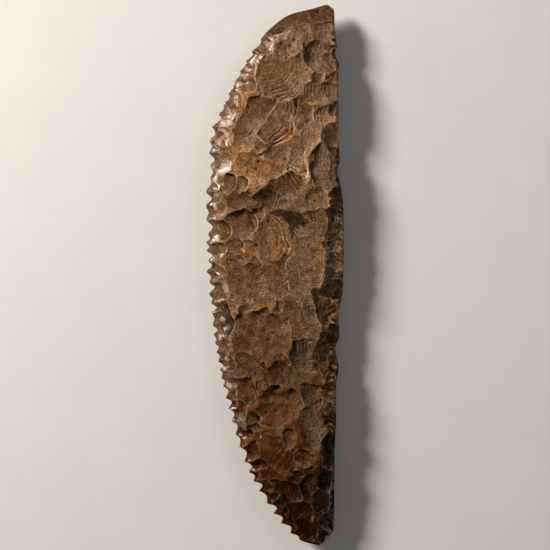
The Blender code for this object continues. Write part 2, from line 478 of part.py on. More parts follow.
# ---- mesh ---------------------------------------------------------------------------------------
def skin(bm, plan, columns, relief, rims, facing):
    """One face of the blade as a grid of quads whose outer points are the shared edge."""
    s = np.linspace(0, 1, columns)
    share = s - COLUMN_CROWDING * np.sin(2 * math.pi * s)
    x = plan.notched[:, None] + (plan.right - plan.notched)[:, None] * share
    y = np.repeat(plan.along[:, None], columns, axis=1)
    z = np.minimum(plan.rim[:, None] + facing * relief.read(relief.height, x, y), TOP)
    rows = len(plan.along)
    points = []
    for i in range(rows):
        line = []
        for j in range(columns):
            if i in (0, rows - 1) or j in (0, columns - 1):
                line.append(rims[i][0 if j < columns / 2 else 1])
            else:
                line.append(bm.verts.new(((x[i, j] - MIDDLE) * MM, y[i, j] * MM, z[i, j] * MM)))
        points.append(line)
    for i in range(rows - 1):
        for j in range(columns - 1):
            corners = [points[i][j], points[i + 1][j], points[i + 1][j + 1], points[i][j + 1]]
            ring = [p for k, p in enumerate(corners) if p is not corners[k - 1]]
            if len(ring) > 2:
                bm.faces.new(ring if facing > 0 else ring[::-1])


def make_blade():
    plan = Plan(row_places())
    bm = bmesh.new()
    rims = []
    for left, right, place, rim in zip(plan.notched, plan.right, plan.along, plan.rim):
        rims.append([
            bm.verts.new(((left - MIDDLE) * MM, place * MM, rim * MM)),
            bm.verts.new(((right - MIDDLE) * MM, place * MM, rim * MM)),
        ])
    skin(bm, plan, TOP_COLUMNS, upper_face(), rims, 1)
    skin(bm, plan, UNDER_COLUMNS, under_face(), rims, -1)
    bmesh.ops.triangulate(bm, faces=bm.faces)
    mesh = bpy.data.meshes.new("saw_blade")
    bm.to_mesh(mesh)
    bm.free()
    blade = bpy.data.objects.new("saw_blade", mesh)
    bpy.context.scene.collection.objects.link(blade)
    thin = blade.modifiers.new("facets", "DECIMATE")
    thin.ratio = MOST_TRIANGLES / len(mesh.polygons)
    return blade


def cutter(name, low, high):
    """A box that trims the blade flat, kept out of the finished part."""
    bm = bmesh.new()
    bmesh.ops.create_cube(bm, size=1)
    for vert in bm.verts:
        vert.co = [(lo if c < 0 else hi) * MM for c, lo, hi in zip(vert.co, low, high)]
    mesh = bpy.data.meshes.new(name)
    bm.to_mesh(mesh)
    bm.free()
    box = bpy.data.objects.new(name, mesh)
    box.display_type = "WIRE"
    box.hide_render = True
    bpy.context.scene.collection.objects.link(box)
    return box


def trim(blade, box):
    """Cuts the box away from the blade."""
    cut = blade.modifiers.new(box.name, "BOOLEAN")
    cut.operation = "DIFFERENCE"
    cut.solver = "EXACT"
    cut.object = box


def flint():
    """Brown patinated flint, matt to slightly waxy."""
    material = bpy.data.materials.new("flint")
    material.use_nodes = True
    shader = material.node_tree.nodes["Principled BSDF"]
    shader.inputs["Base Color"].default_value = (0.15, 0.07, 0.026, 1)
    shader.inputs["Roughness"].default_value = 0.55
    shader.inputs["Metallic"].default_value = 0
    return material


def main():
    for obj in list(bpy.data.objects):
        bpy.data.objects.remove(obj, do_unlink=True)
    blade = make_blade()
    blade.data.materials.append(flint())
    across, along = RASTER_REACH
    trim(blade, cutter("resting_flat", (-across, -along, -UNDERSIDE_BULGE), (across, along, 0)))
    seat = SEAT_REACH - MIDDLE
    trim(blade, cutter("haft_seat", (seat, SEAT_SPAN[0], -1), (across, SEAT_SPAN[1], TOP + 1)))


main()
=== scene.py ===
import math
from functools import partial

import bpy
import numpy as np
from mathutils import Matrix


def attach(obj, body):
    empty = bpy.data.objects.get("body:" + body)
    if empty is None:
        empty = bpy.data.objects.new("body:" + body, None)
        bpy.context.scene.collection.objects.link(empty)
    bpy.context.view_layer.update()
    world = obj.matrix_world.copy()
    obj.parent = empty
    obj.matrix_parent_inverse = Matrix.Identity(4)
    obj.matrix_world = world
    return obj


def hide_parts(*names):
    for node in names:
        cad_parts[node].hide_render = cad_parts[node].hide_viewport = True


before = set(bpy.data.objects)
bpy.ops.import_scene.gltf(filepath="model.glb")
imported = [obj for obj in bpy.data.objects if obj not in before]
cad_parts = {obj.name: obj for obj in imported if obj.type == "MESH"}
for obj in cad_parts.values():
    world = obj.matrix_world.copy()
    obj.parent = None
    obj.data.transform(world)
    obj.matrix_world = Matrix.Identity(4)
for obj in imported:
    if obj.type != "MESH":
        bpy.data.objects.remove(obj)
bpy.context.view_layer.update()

mm = 0.001

# A flaked stone saw blade lying on a pale floor. It is shaped in millimetres in its own plan: along from
# the point at -75 to the snapped end at 75, and across from the cutting edge on the left to the blunt back.
# It goes to metres as it is written to the mesh.

bladeSizes = {
    "halfLength": 75,
    # the plan: across at each place along
    "cuttingEdge": [
        (75, 14.2), (73.8, 10), (72.5, 4.8), (70, 0.7), (65.3, -4), (56.5, -9.6), (46.5, -14.6),
        (38.5, -18), (34, -18.1), (31, -17.75), (26.5, -17.75), (23.2, -19), (19.2, -19), (15.5, -18.9),
        (11.3, -18.4), (9, -18.9), (6.8, -18.8), (4, -18.3), (1, -18.8), (-2, -18), (-5.2, -18.2),
        (-8, -17.5), (-14, -17.1), (-26, -15.2), (-42, -11.4), (-54, -7.4), (-63, -2.3), (-70, 2.8),
        (-74, 8), (-75, 11.8),
    ],
    "backEdge": [
        (75, 14.8), (73.6, 16.5), (68, 16.8), (63.5, 17.3), (61.5, 16.8), (58.5, 17.9), (50, 18.1),
        (36, 17.9), (31.7, 18.1), (28.9, 17.4), (25.5, 18.2), (19, 19.1), (10, 19.3), (-3, 19),
        (-12.6, 17.8), (-16.5, 18.1), (-20.5, 16.9), (-25.6, 17.8), (-31, 17.1), (-41, 17.1),
        (-46, 16.8), (-60, 16.6), (-70.5, 16.5), (-73, 14.8), (-75, 12.4),
    ],
    # heights along the blade, and the width of the bench on its back
    "rise": [(75, 3), (66, 4.2), (50, 4.9), (20, 5.7), (-10, 5.9), (-40, 5.3), (-60, 4.2), (-75, 2.6)],
    "backLift": [(-24, 0), (-32, 0.36), (-43, 0.36), (-47, 0)],  # where the trimmed back is flatter
    "backBevel": [
        (75, 1.2), (60, 0.8), (45, 0.9), (35, 1.2), (24, 1), (20, 3.2), (17, 4.4), (0, 5),
        (-10, 4.6), (-20, 5.4), (-29, 3.2), (-40, 2.4), (-47, 1.6), (-55, 1), (-63, 1), (-70, 2.4),
        (-75, 2.6),
    ],
    "toothTips": [
        65.5, 62.1, 59.4, 56.6, 53.8, 50.5, 47.5, 44.7, 41.3, 37.3, 33.9, 30.3, 26.9, 23.2, 19.2, 15.5,
        11.3, 9, 6.8, 4, 1, -2, -5.2, -7.8, -10.5, -14, -16.7, -19, -21.5, -24, -26.4, -28.6, -30.9,
        -34.2, -37.2, -40.6, -44.4, -47.8, -51.9, -54.8, -57.3, -60, -63.5, -66.3, -69, -71.8, -73.5,
    ],
    "notchShare": [  # how deep each gap between two teeth is, against its neighbours
        1.2, 1.1, 0.6, 0.8, 0.6, 1.0, 0.6, 1.3, 1.5, 0.7, 1.2, 0.7, 0.45, 1.5, 0.65, 1.3,
        0.6, 0.7, 1.2, 1.0, 0.65, 1.3, 0.6, 1.3, 0.5, 1.1, 0.45, 0.8, 0.65, 1.0, 0.5, 0.7, 1.1,
        1.25, 1.1, 1.0, 0.75, 1.2, 1.2, 0.8, 1.3, 0.8, 1.3, 1.1, 1.2, 0.8,
    ],
    "notchDepth": [
        (70, 0.6), (60, 0.65), (40, 0.9), (10, 1.1), (-25, 1), (-50, 1.15), (-66, 1.25), (-75, 0.7),
    ],
    "notchLean": [(70, 0.75), (45, 0.9), (20, 1), (-15, 0.85), (-45, 0.65), (-75, 0.65)],
    "tipRounding": [(75, 1.3), (45, 1.5), (30, 2.1), (-15, 2.1), (-45, 1.5), (-75, 1.3)],
    "notchFade": 1.6,  # the gaps die out over this distance in from the edge
    "rimHeight": 4.4,
    "rimWave": 0.25,
    "rimPace": (11, 3.1),  # pace of the long and short waves of the rim
    "middle": 0.15,  # the blade's axis in this plan
    "seatReach": 17.75,  # the trimmed seat on the back, and where it starts and ends
    "seatSpan": (37, 57),
    "top": 10.4,  # nothing stands higher than this above the floor
    "boxLow": (-19.14, -74.99, 0.002),  # and nothing outside this box
    "boxHigh": (19.14, 74.99, 10.4),
    # the worked face: a dome, trimmed along the edge, the back, the snapped end and the point
    "crown": [  # its height from the cutting edge (0) to the back (1), as a share of the rise
        (0, 0.46), (0.1, 0.55), (0.25, 0.74), (0.45, 0.93), (0.6, 1), (0.72, 1), (0.86, 0.93), (1, 0.82),
    ],
    "domeLump": (0.08, 10),  # it is uneven by so much, over lumps so wide
    "towardsPoint": (-76, 12, 0.7),  # where the dome ends, over what stretch, and how full
    "edgeSlope": [
        (75, 0.7), (60, 0.62), (40, 0.62), (0, 0.66), (-25, 0.75), (-40, 0.82), (-60, 0.8), (-75, 0.7),
    ],
    "edgeEasing": (0.02, 12),  # that slope eases off inwards
    "edgeLump": (0.1, 8),  # and is uneven, as the underside is
    # height of the bench at each share of its width, as a share of the rise
    "bench": [(0, 0.5), (0.3, 0.56), (0.8, 0.7), (0.93, 0.76), (1.02, 1), (1.2, 1.6), (2, 4)],
    "benchGrey": 0.65,
    "bluff": 6,  # how steeply the blunt back stands up from the edge
    # the snapped end's outline, and the ridge where its face meets the blade: along at each place across
    "endOutline": [(-4, 65.3), (0.7, 70), (4.8, 72.5), (10, 73.8), (14.2, 75), (16.5, 74.6), (20, 74)],
    "endRidge": [
        (-4, 65), (0, 66.4), (4, 67.7), (8, 69.2), (11, 69.6), (14, 69.9), (16.6, 69.5), (20, 69),
    ],
    "endLeast": 0.4,
    "endHeight": 3.1,
    "endStart": 62,
    "point": (-60, -75.2, 1.2),  # where the point's face starts, its tip and its slope
    "leastSlope": (0.2, 3),  # stone left behind the thin edge, and how far in
    # the underside
    "underBulge": 5.0,
    "underReach": 75.3,  # where the bulge would run out at each end
    "underCamber": 0.5,  # share of the bulge lost at the two edges
    "underStart": 70,
    "underSpacing": 1.35,  # of its scars, in their half widths
    "underSlopes": (0.9, 1.1),  # of its toothed edge and of its back
    "underStep": 0.3,  # its back starts this deep
    # flake scars
    "scarDepth": 2.0,  # this and the next heights multiply what each scar asks for
    "scarFlatness": 2.3,  # larger is a flatter floor with a steeper rim
    "scarWall": 1.3,
    "wander": ((0.3, 5), (0.1, 1.8)),  # outlines wander by so much, over lumps so wide
    "wallLump": 3.5,
    "outlinePoints": 56,
    "edgeSettle": 0.8,  # scars at the edge die out over this distance from it
    "rippleHeight": 1.9,
    "rippleLump": 6,
    "streakHeight": 0.021,
    "streakWidth": 0.45,
    "streaks": 1024,
    "hingeDrop": 1.2,
    "crestHeight": 0.05,
    "unevenness": 0.018,
    "unevenLump": 2.6,
    "rougherBelow": 0.9,  # the lower half is that much rougher
    "notchHollow": 0.32,
    "chipSpan": (-72, 73),  # where the chips of the back end and start
    "broadBench": 2,  # where the back's bench is broader, it has a second row of chips
    "spalls": 110,
    # mesh
    "cell": 0.13,  # raster spacing of the upper face
    "underCell": 0.24,
    "reach": (20.4, 75.6),  # how far the rasters run across and along
    "rows": 1250,
    "topColumns": 260,
    "underColumns": 36,
    "crowding": 0.03,  # columns stand a little closer together at the two edges
    "weld": 0.000002,  # in metres
    "mostTriangles": 190000,
    "smoothAngle": 60,
    # what the material reads off the relief, for its wear and its painted shade and highlights: blurs, and
    # the heights that count as full
    "creaseBlur": 0.22,
    "creaseHeight": 0.06,
    "paintedShadingBlur": (0.3, 1.0),
    "paintedShadingHeight": 0.25,
    "edgeWear": (3.6, 1.6),  # how far in the worn edge reaches, and how sharply it stops
    # random seeds
    "topSeeds": {
        "relief": 3, "dome": 16, "edge": 17, "notches": 22, "chips": 23, "spalls": 24, "arrises": 31,
    },
    "underSeeds": {"relief": 43, "scars": 5, "dome": 61, "notches": 62, "chips": 63, "arrises": 71},
}


def through(points, along):
    # a smooth curve through given points that doesn't overshoot them
    pairs = sorted(points)
    place = np.array([p for p, _ in pairs], float)
    value = np.array([v for _, v in pairs], float)
    gap = np.diff(place)
    rate = np.diff(value) / gap
    slope = np.zeros_like(value)
    for k in range(1, len(value) - 1):
        if rate[k - 1] * rate[k] > 0:
            before = 2 * gap[k] + gap[k - 1]
            after = gap[k] + 2 * gap[k - 1]
            slope[k] = (before + after) / (before / rate[k - 1] + after / rate[k])
    slope[0], slope[-1] = rate[0], rate[-1]
    along = np.clip(along, place[0], place[-1])
    k = np.clip(np.searchsorted(place, along) - 1, 0, len(gap) - 1)
    t = (along - place[k]) / gap[k]
    start = (1 + 2 * t) * (1 - t) ** 2 * value[k] + t * (1 - t) ** 2 * gap[k] * slope[k]
    finish = t * t * (3 - 2 * t) * value[k + 1] + t * t * (t - 1) * gap[k] * slope[k + 1]
    return start + finish


def ease(low, high, x):
    # smooth step from 0 at low to 1 at high
    t = np.clip((x - low) / (high - low), 0, 1)
    return t * t * (3 - 2 * t)


class Plan:
    # the blade's outline at the given places along
    def __init__(self, along):
        p = bladeSizes
        self.along = along
        fine = np.linspace(p["halfLength"], -p["halfLength"], 3001)
        self.left = through(p["cuttingEdge"], along)
        self.right = through(p["backEdge"], along)
        self.leftSlope = np.interp(-along, -fine, np.gradient(through(p["cuttingEdge"], fine), fine))
        self.rightSlope = np.interp(-along, -fine, np.gradient(through(p["backEdge"], fine), fine))
        tips = np.array(p["toothTips"])
        gap = np.clip(np.searchsorted(-tips, -along), 1, len(tips) - 1)
        share = np.clip((tips[gap - 1] - along) / (tips[gap - 1] - tips[gap]), 0, 1)
        share = np.where(along > tips[0], 0, share)
        wave = np.sin(math.pi * share ** through(p["notchLean"], along))
        scallop = np.clip(wave, 0, 1) ** through(p["tipRounding"], along)
        self.notch = np.array(p["notchShare"])[gap - 1] * through(p["notchDepth"], along) * scallop
        self.notched = self.left + self.notch * np.sqrt(1 + self.leftSlope**2)
        long, short = p["rimPace"]
        self.rim = p["rimHeight"] + p["rimWave"] * (np.sin(along / long) + 0.4 * np.sin(along / short))

    def distances(self, x):
        # how far in from the line of the tooth tips, from the toothed rim and from the back
        fromLeft = (x - self.left[:, None]) / np.sqrt(1 + self.leftSlope**2)[:, None]
        fromBack = (self.right[:, None] - x) / np.sqrt(1 + self.rightSlope**2)[:, None]
        notch = self.notch[:, None]
        fade = bladeSizes["notchFade"]
        inset = notch * np.exp(-np.clip(fromLeft, 0, None) / fade)
        settle = (notch - notch * np.exp(-notch / fade)) * np.exp(-np.clip(fromLeft - notch, 0, None))
        return fromLeft, fromLeft - inset - settle, fromBack


def membrane(x, y, edgeX, edgeY, edgeHeight):
    # mean value coordinates: a smooth sheet over a closed outline, at the outline's own heights
    dx = edgeX - x[:, None]
    dy = edgeY - y[:, None]
    r = np.hypot(dx, dy) + 1e-6
    nextX, nextY, nextR = (np.roll(a, -1, axis=1) for a in (dx, dy, r))
    cross = dx * nextY - dy * nextX
    dot = dx * nextX + dy * nextY
    cross = np.where(np.abs(cross) < 1e-7, 1e-7, cross)
    half = (r * nextR - dot) / cross
    weight = (half + np.roll(half, 1, axis=1)) / r
    return (weight * edgeHeight).sum(1) / weight.sum(1)


def grain(shape, cell, size, seed):
    # smooth random field whose lumps are about the given size across, in millimetres
    rng = np.random.default_rng(seed)
    white = np.fft.rfft2(rng.standard_normal(shape))
    fy = np.fft.fftfreq(shape[0], cell)[:, None]
    fx = np.fft.rfftfreq(shape[1], cell)[None]
    pace = np.hypot(fx, fy) * size
    field = np.fft.irfft2(white * np.exp(-((pace - 0.6) ** 2) / 0.12), shape)
    return field / field.std()


def blurred(field, cell, size):
    # size is the blur's spread, in millimetres
    fy = np.fft.fftfreq(field.shape[0], cell)[:, None]
    fx = np.fft.rfftfreq(field.shape[1], cell)[None]
    keep = np.exp(-2 * (math.pi * size * np.hypot(fx, fy)) ** 2)
    return np.fft.irfft2(np.fft.rfft2(field) * keep, field.shape)


class Relief:
    # one face of the blade on a raster: its heights, how the stone looks, and the light and shade painted on
    # it
    def __init__(self, cell, seed):
        self.cell = cell
        across, along = bladeSizes["reach"]
        self.xs = np.arange(-across, across, cell)
        self.ys = np.arange(along, -along, -cell)
        self.plan = Plan(self.ys)
        self.x = np.repeat(self.xs[None], len(self.ys), axis=0)
        self.y = np.repeat(self.ys[:, None], len(self.xs), axis=1)
        self.fromLeft, self.fromRim, self.fromBack = self.plan.distances(self.x)
        withinEnds = np.abs(self.y) < bladeSizes["halfLength"]
        self.inside = np.clip(np.minimum(self.fromRim, self.fromBack), 0, None) * withinEnds
        self.settled = 1 - np.exp(-((self.inside / bladeSizes["edgeSettle"]) ** 1.3))
        shape = self.x.shape
        (broad, broadLump), (narrow, narrowLump) = bladeSizes["wander"]
        self.warpX, self.warpY = (
            broad * grain(shape, cell, broadLump, first) + narrow * grain(shape, cell, narrowLump, first + 1)
            for first in (seed, seed + 2)
        )
        lumps = grain(shape, cell, bladeSizes["wallLump"], seed + 5)
        self.breakUp = np.clip(0.85 + 0.35 * lumps, 0.1, 1.5)
        lumps = grain(shape, cell, bladeSizes["rippleLump"], seed + 4)
        self.texture = np.clip(0.95 + 0.25 * lumps, 0.5, 1.4)
        self.height = np.zeros_like(self.x)
        self.rings = np.zeros_like(self.x)
        self.fissure = np.zeros_like(self.x)
        # the old skin is greyer above, and below only along the back
        self.grey = 0.4 * ease(-58, -44, self.y) + 0.6 * ease(9, 12, self.x) * ease(-44, -50, self.y)
        self.grit = np.full_like(self.x, 0.4)
        self.shade = np.ones_like(self.x)
        self.glossAndPaintedHighlight = np.zeros_like(self.x)
        self.owner = np.zeros(shape, int)
        self.count = 0

    def read(self, field, x, y):
        # the field's value at each place, between its cells
        col = np.clip((x - self.xs[0]) / self.cell, 0, len(self.xs) - 1.001)
        row = np.clip((self.ys[0] - y) / self.cell, 0, len(self.ys) - 1.001)
        c, r = col.astype(int), row.astype(int)
        fc, fr = col - c, row - r
        upper = field[r, c] * (1 - fc) + field[r, c + 1] * fc
        lower = field[r + 1, c] * (1 - fc) + field[r + 1, c + 1] * fc
        return upper * (1 - fr) + lower * fr

    def stoneAt(self, across, along):
        # how the stone looks at one place, with its shade, which is partly painted light and shade, for a
        # chip to take on
        x, y = np.array([across]), np.array([along])
        fields = {"grey": self.grey, "shade": self.shade}
        return {label: float(self.read(field, x, y)[0]) for label, field in fields.items()}

    def window(self, across, along, reach):
        # the part of the raster within reach of a place
        top = int((self.ys[0] - along - reach) / self.cell)
        left = int((across - reach - self.xs[0]) / self.cell)
        size = int(2 * reach / self.cell) + 2
        rows = slice(max(top, 0), min(top + size, len(self.ys)))
        cols = slice(max(left, 0), min(left + size, len(self.xs)))
        return rows, cols

    def cut(self, across, along, heading, halfLength, halfWidth, depth, wall=0.0, taper=0.0, ripple=0.0,
            grey=0.2, grit=0.3, shade=1.0, wave=1.15, source=1.1, streak=1.0, atEdge=False):
        # one flake scar: a dished sheet hung on the surface along its own outline. It runs from the blow
        # along its heading, in degrees. Wall is an extra drop at its far end, taper its widening on the
        # way, wave the space between its ripples, and source how far behind its middle the blow fell, in
        # half lengths. Grey and grit are the look of its stone. Shade multiplies its colour, partly as the
        # stone's own tone, partly as painted shade and painted light for faces turned away from the lamp and
        # towards it
        self.count += 1
        c, s = math.cos(math.radians(heading)), math.sin(math.radians(heading))
        rows, cols = self.window(across, along, 1.3 * max(halfLength, halfWidth * (1 + abs(taper))) + 0.8)
        x = self.x[rows, cols] + self.warpX[rows, cols]
        y = self.y[rows, cols] + self.warpY[rows, cols]
        u = ((x - across) * c + (y - along) * s) / halfLength
        v = ((y - along) * c - (x - across) * s) / (halfWidth * np.clip(1 + taper * u, 0.05, None))
        r = np.hypot(u, v)
        hit = (r < 1) & ((self.inside[rows, cols] > 0) | (not atEdge))
        if not hit.any():
            return
        turn = np.linspace(0, 2 * math.pi, bladeSizes["outlinePoints"], endpoint=False)
        edgeU = np.cos(turn)
        edgeV = np.sin(turn) * halfWidth * (1 + taper * edgeU)
        sheetX = across + edgeU * halfLength * c - edgeV * s
        sheetY = along + edgeU * halfLength * s + edgeV * c
        edgeX, edgeY = sheetX, sheetY
        for _ in range(2):
            nudgeX, nudgeY = self.read(self.warpX, edgeX, edgeY), self.read(self.warpY, edgeX, edgeY)
            edgeX, edgeY = sheetX - nudgeX, sheetY - nudgeY
        if atEdge:
            last = bladeSizes["halfLength"] - 0.1
            edgeY = np.clip(edgeY, -last, last)
            low = np.interp(-edgeY, -self.ys, self.plan.notched)
            high = np.interp(-edgeY, -self.ys, self.plan.right)
            off = (edgeX <= low) | (edgeX >= high)
            sheetX = sheetX + np.clip(edgeX, low, high) - edgeX
            edgeHeight = np.where(off, 0, self.read(self.height, edgeX, edgeY))
        else:
            edgeHeight = self.read(self.height, edgeX, edgeY)
        sheet = membrane(x[hit], y[hit], sheetX, sheetY, edgeHeight)
        sheet = np.clip(sheet, edgeHeight.min(), edgeHeight.max())
        settled = self.settled[rows, cols] if atEdge else np.ones_like(u)
        drop = bladeSizes["scarDepth"] * depth * (1 - r ** bladeSizes["scarFlatness"])
        rise = self.breakUp[rows, cols] * ease(0.0, 0.85, u) * (1 - ease(0.9, 1.0, r))
        drop += bladeSizes["scarWall"] * wall * rise
        block = self.height[rows, cols]
        block[hit] = np.maximum(sheet - (drop * settled)[hit], 0)
        # ripples spread from where the flake was struck, and fine streaks fan out from there
        struckX, struckY = x - across + source * halfLength * c, y - along + source * halfLength * s
        away = np.hypot(struckX, struckY)
        phase = away / wave + 0.2 * np.sin(0.9 * away + self.count)
        swell = bladeSizes["rippleHeight"] * ripple * ease(-0.4, 0.6, u) * (1 - ease(0.93, 1, r))
        rings = swell * (np.sin(2 * math.pi * phase) + 0.4 * np.sin(4 * math.pi * phase + 1))
        lobes = np.random.default_rng(self.count).standard_normal(bladeSizes["streaks"])
        turnAway = np.arctan2(struckY, struckX) * (1 + source) * halfLength / bladeSizes["streakWidth"]
        fan = np.interp(turnAway, np.arange(len(lobes)) - len(lobes) // 2, lobes)
        rings += bladeSizes["streakHeight"] * streak * fan * ease(-0.7, 0.5, u) * (1 - ease(0.9, 1, r))
        rings *= self.texture[rows, cols]
        self.rings[rows, cols][hit] = (rings * settled)[hit]
        self.grey[rows, cols][hit] = grey
        self.grit[rows, cols][hit] = grit
        self.shade[rows, cols][hit] = shade
        self.owner[rows, cols][hit] = self.count

    def trim(self, face, grey=None):
        # cuts the surface back to a face that comes up from the rim
        hit = face < self.height
        self.height = np.minimum(self.height, face)
        self.rings[hit] = 0
        self.owner[hit] = -1
        if grey is not None:
            self.grey[hit] = grey

    def meetings(self):
        # where two scars meet
        return (self.owner != np.roll(self.owner, 1, 0)) | (self.owner != np.roll(self.owner, 1, 1))

    def closeRim(self):
        # no stone outside the outline
        self.height = np.clip(self.height, 0, None) * (self.inside > 0)

    def thicken(self):
        # some stone is left everywhere behind the thin edge
        slope, reach = bladeSizes["leastSlope"]
        self.height = np.maximum(self.height, slope * np.minimum(self.inside, reach))

    def hinge(self, drop, reach, *path):
        # the surface falls on the right hand of the path and comes back over the reach
        px, py = np.array(path[0::2], float), np.array(path[1::2], float)
        run = np.concatenate([[0], np.cumsum(np.hypot(np.diff(px), np.diff(py)))])
        rows, cols = self.window(px.mean(), py.mean(), 0.6 * run[-1] + 3 * reach)
        x = self.x[rows, cols] + self.warpX[rows, cols]
        y = self.y[rows, cols] + self.warpY[rows, cols]
        nearest = np.full(x.shape, 99.0)
        side = np.zeros(x.shape)
        share = np.zeros(x.shape)
        for k in range(len(px) - 1):
            dx, dy = px[k + 1] - px[k], py[k + 1] - py[k]
            t = ((x - px[k]) * dx + (y - py[k]) * dy) / (dx * dx + dy * dy)
            inner = np.clip(t, 0, 1)
            gap = np.hypot(x - px[k] - inner * dx, y - py[k] - inner * dy)
            closer = gap < nearest
            nearest = np.where(closer, gap, nearest)
            right = (x - px[k]) * dy - (y - py[k]) * dx
            side = np.where(closer, np.sign(right) * gap, side)
            share = np.where(closer, (run[k] + inner * (run[k + 1] - run[k])) / run[-1], share)
        fade = np.sin(math.pi * np.clip(share, 0, 1)) ** 0.6
        fall = ease(-0.12, 0.14, side) * np.exp(-np.clip(side, 0, None) / reach) * self.breakUp[rows, cols]
        self.fissure[rows, cols] -= bladeSizes["hingeDrop"] * drop * fade * fall * self.settled[rows, cols]


def topDome(relief, seed):
    plan = relief.plan
    share = np.clip((relief.x - plan.left[:, None]) / (plan.right - plan.left)[:, None], 0, 1)
    dome = through(bladeSizes["rise"], relief.y) * through(bladeSizes["crown"], share)
    finish, stretch, fullness = bladeSizes["towardsPoint"]
    dome *= (1 - (1 - np.clip((relief.y - finish) / stretch, 0, 1)) ** 2) ** fullness
    lump, size = bladeSizes["domeLump"]
    relief.height = dome + lump * grain(relief.x.shape, relief.cell, size, seed)


def bodyCuts(cut):
    # shade is each scar's tone, and in places also painted shade and painted light for faces turned away
    # from the lamp and towards it
    # in the order of the blows: across, along, heading, half length, half width, depth
    # snapped end and upper third
    cut(11, 66.5, 180, 8.2, 4.8, 0.3, grey=1.1, grit=0.5, shade=1.04)
    cut(6.9, 46.6, -82, 4.4, 1.7, 0.3, ripple=0.02, grey=0.4, wave=0.8)
    cut(8.9, 45.6, -80, 4.2, 1.6, 0.3, grey=0.5)
    cut(0.8, 43.8, -20, 6, 5.3, 0.5, ripple=0.05)
    cut(-6.3, 29.3, -3, 10, 4.8, 0.5, grey=0.45, grit=0.8, shade=1.4)
    cut(0.4, 34.4, 0, 3.8, 2.9, 0.35, grey=0.1, grit=0.6, shade=1.1)
    cut(-8.2, 37.2, 10, 4.4, 3.3, 0.5, wall=0.15, grey=0.4, grit=0.5, shade=1.35)
    cut(0, 41, -35, 5.3, 5.3, 0.55, wall=0.35, ripple=0.05, wave=1.0, shade=1.25)
    cut(-4, 35.2, -20, 1.5, 1.4, 0.25)
    cut(-6.2, 44.2, 47, 7.3, 4.0, 0.6, wall=0.3, ripple=0.015)
    cut(1.2, 56, -50, 8.5, 7.2, 0.8, ripple=0.055, wave=1.1, shade=1.08)
    cut(2.6, 63, -20, 4.4, 2.5, 0.25, grey=0.4, grit=1)
    cut(8.2, 57.4, 90, 4.7, 2.6, 0.3, grey=0.9, grit=0.5, shade=1.14)
    cut(13.8, 61.2, 180, 5.7, 5.6, 0.6, wall=0.2, grey=0.85, ripple=0.03, grit=0.5, wave=1.3)
    cut(15.2, 68.2, 180, 5.4, 4.1, 0.3, grey=1.1, shade=1.1)
    cut(17, 59.5, 180, 3.2, 2.7, 0.35, ripple=0.03, grey=0.3)
    cut(12.9, 50.5, 180, 4.8, 3.7, 0.4, grey=0.8, ripple=0.025, shade=1.12)
    cut(16.8, 50.9, 180, 4, 3.7, 0.35, grey=0.85, ripple=0.025, shade=1.1)
    cut(11.6, 54.5, 180, 1.9, 1.8, 0.25, grey=0.8)
    cut(16.9, 55.3, 178, 3.4, 1.8, 0.25, taper=-0.5, grey=0.9)
    # facets of the back, upper half
    cut(8.7, 33.6, -112, 9.2, 4.6, 0.35, grey=1.2, ripple=0.04, wave=0.9, source=0.1, shade=1.85)
    cut(15, 29.8, 180, 5.8, 7.4, 0.5, wall=0.3, grey=0.9, ripple=0.026, wave=0.9, shade=0.9)
    cut(17.6, 29.6, 180, 2.8, 5.6, 0.3, ripple=0.03, grey=0.8, shade=0.55)
    cut(14.8, 44, 180, 4.5, 2.8, 0.4, grey=1.3, ripple=0.04, grit=0.9, shade=1.65)
    cut(17, 46, 200, 1.9, 1.6, 0.35, grey=0.7)
    cut(17.6, 38.3, 185, 4.5, 4.4, 1.3, grey=0.9, shade=1.85)
    cut(18.3, 21.9, 180, 2.5, 2.9, 1.3, shade=0.55)
    cut(12.1, 20.6, 215, 4, 3.8, 0.3, grey=1, ripple=0.03, wave=0.8, shade=1.36)
    cut(12.2, 16.4, 180, 3.4, 2.1, 0.25, grey=0.6, grit=1, ripple=0.04)
    # middle
    cut(0, 21.4, 36, 9.4, 4.5, 0.5, ripple=0.045, grey=0.3, grit=0.7, wave=1.3, source=0.8, shade=0.78)
    cut(-1.6, 21.4, -20, 3.6, 2.7, 0.35, ripple=0.06, grit=1, shade=0.62)
    cut(-10.4, 20.8, 0, 6.2, 2.7, 0.45, grey=0.3, grit=0.5, shade=0.68)
    # painted shade: the ring beyond the round scar is darkened as a face turned from the light
    cut(2.4, 10.4, 5, 8.2, 7.8, 0.6, ripple=0.06, wave=1.3, shade=0.3)
    cut(8.9, 3.4, 80, 11.2, 5.6, 0.3, grey=1, grit=1, shade=1.07, streak=1.6)
    cut(-0.6, 10.5, 15, 5.5, 6.7, 0.55, ripple=0.05, grey=0.1, wave=1.5, grit=0.5, shade=1.38)
    cut(-4.4, 16.8, -30, 1.8, 1.8, 0.4, grey=0.1)
    cut(-10.2, 13, 50, 5.9, 4.7, 0.6, wall=0.45, grit=0.6, shade=0.85)
    cut(-7.2, 6.6, -10, 3.8, 3, 0.3, grit=0.8)
    cut(-10.8, 8.2, 0, 2.8, 2.3, 0.35, wall=0.25)
    cut(-9.3, 24.9, 40, 2.3, 2.1, 0.3, wall=0.4, taper=-0.2, shade=0.8)
    cut(-14.2, 25, 30, 3.6, 3.0, 0.3, wall=0.5, shade=0.8)
    cut(-6.4, 23, -70, 1.4, 0.8, 0.15)
    cut(-11.6, 3.2, 75, 3, 4, 0.35, wall=0.3)
    cut(-5.4, 3.3, -60, 2.2, 1.8, 0.3, ripple=0.05, wave=0.7)
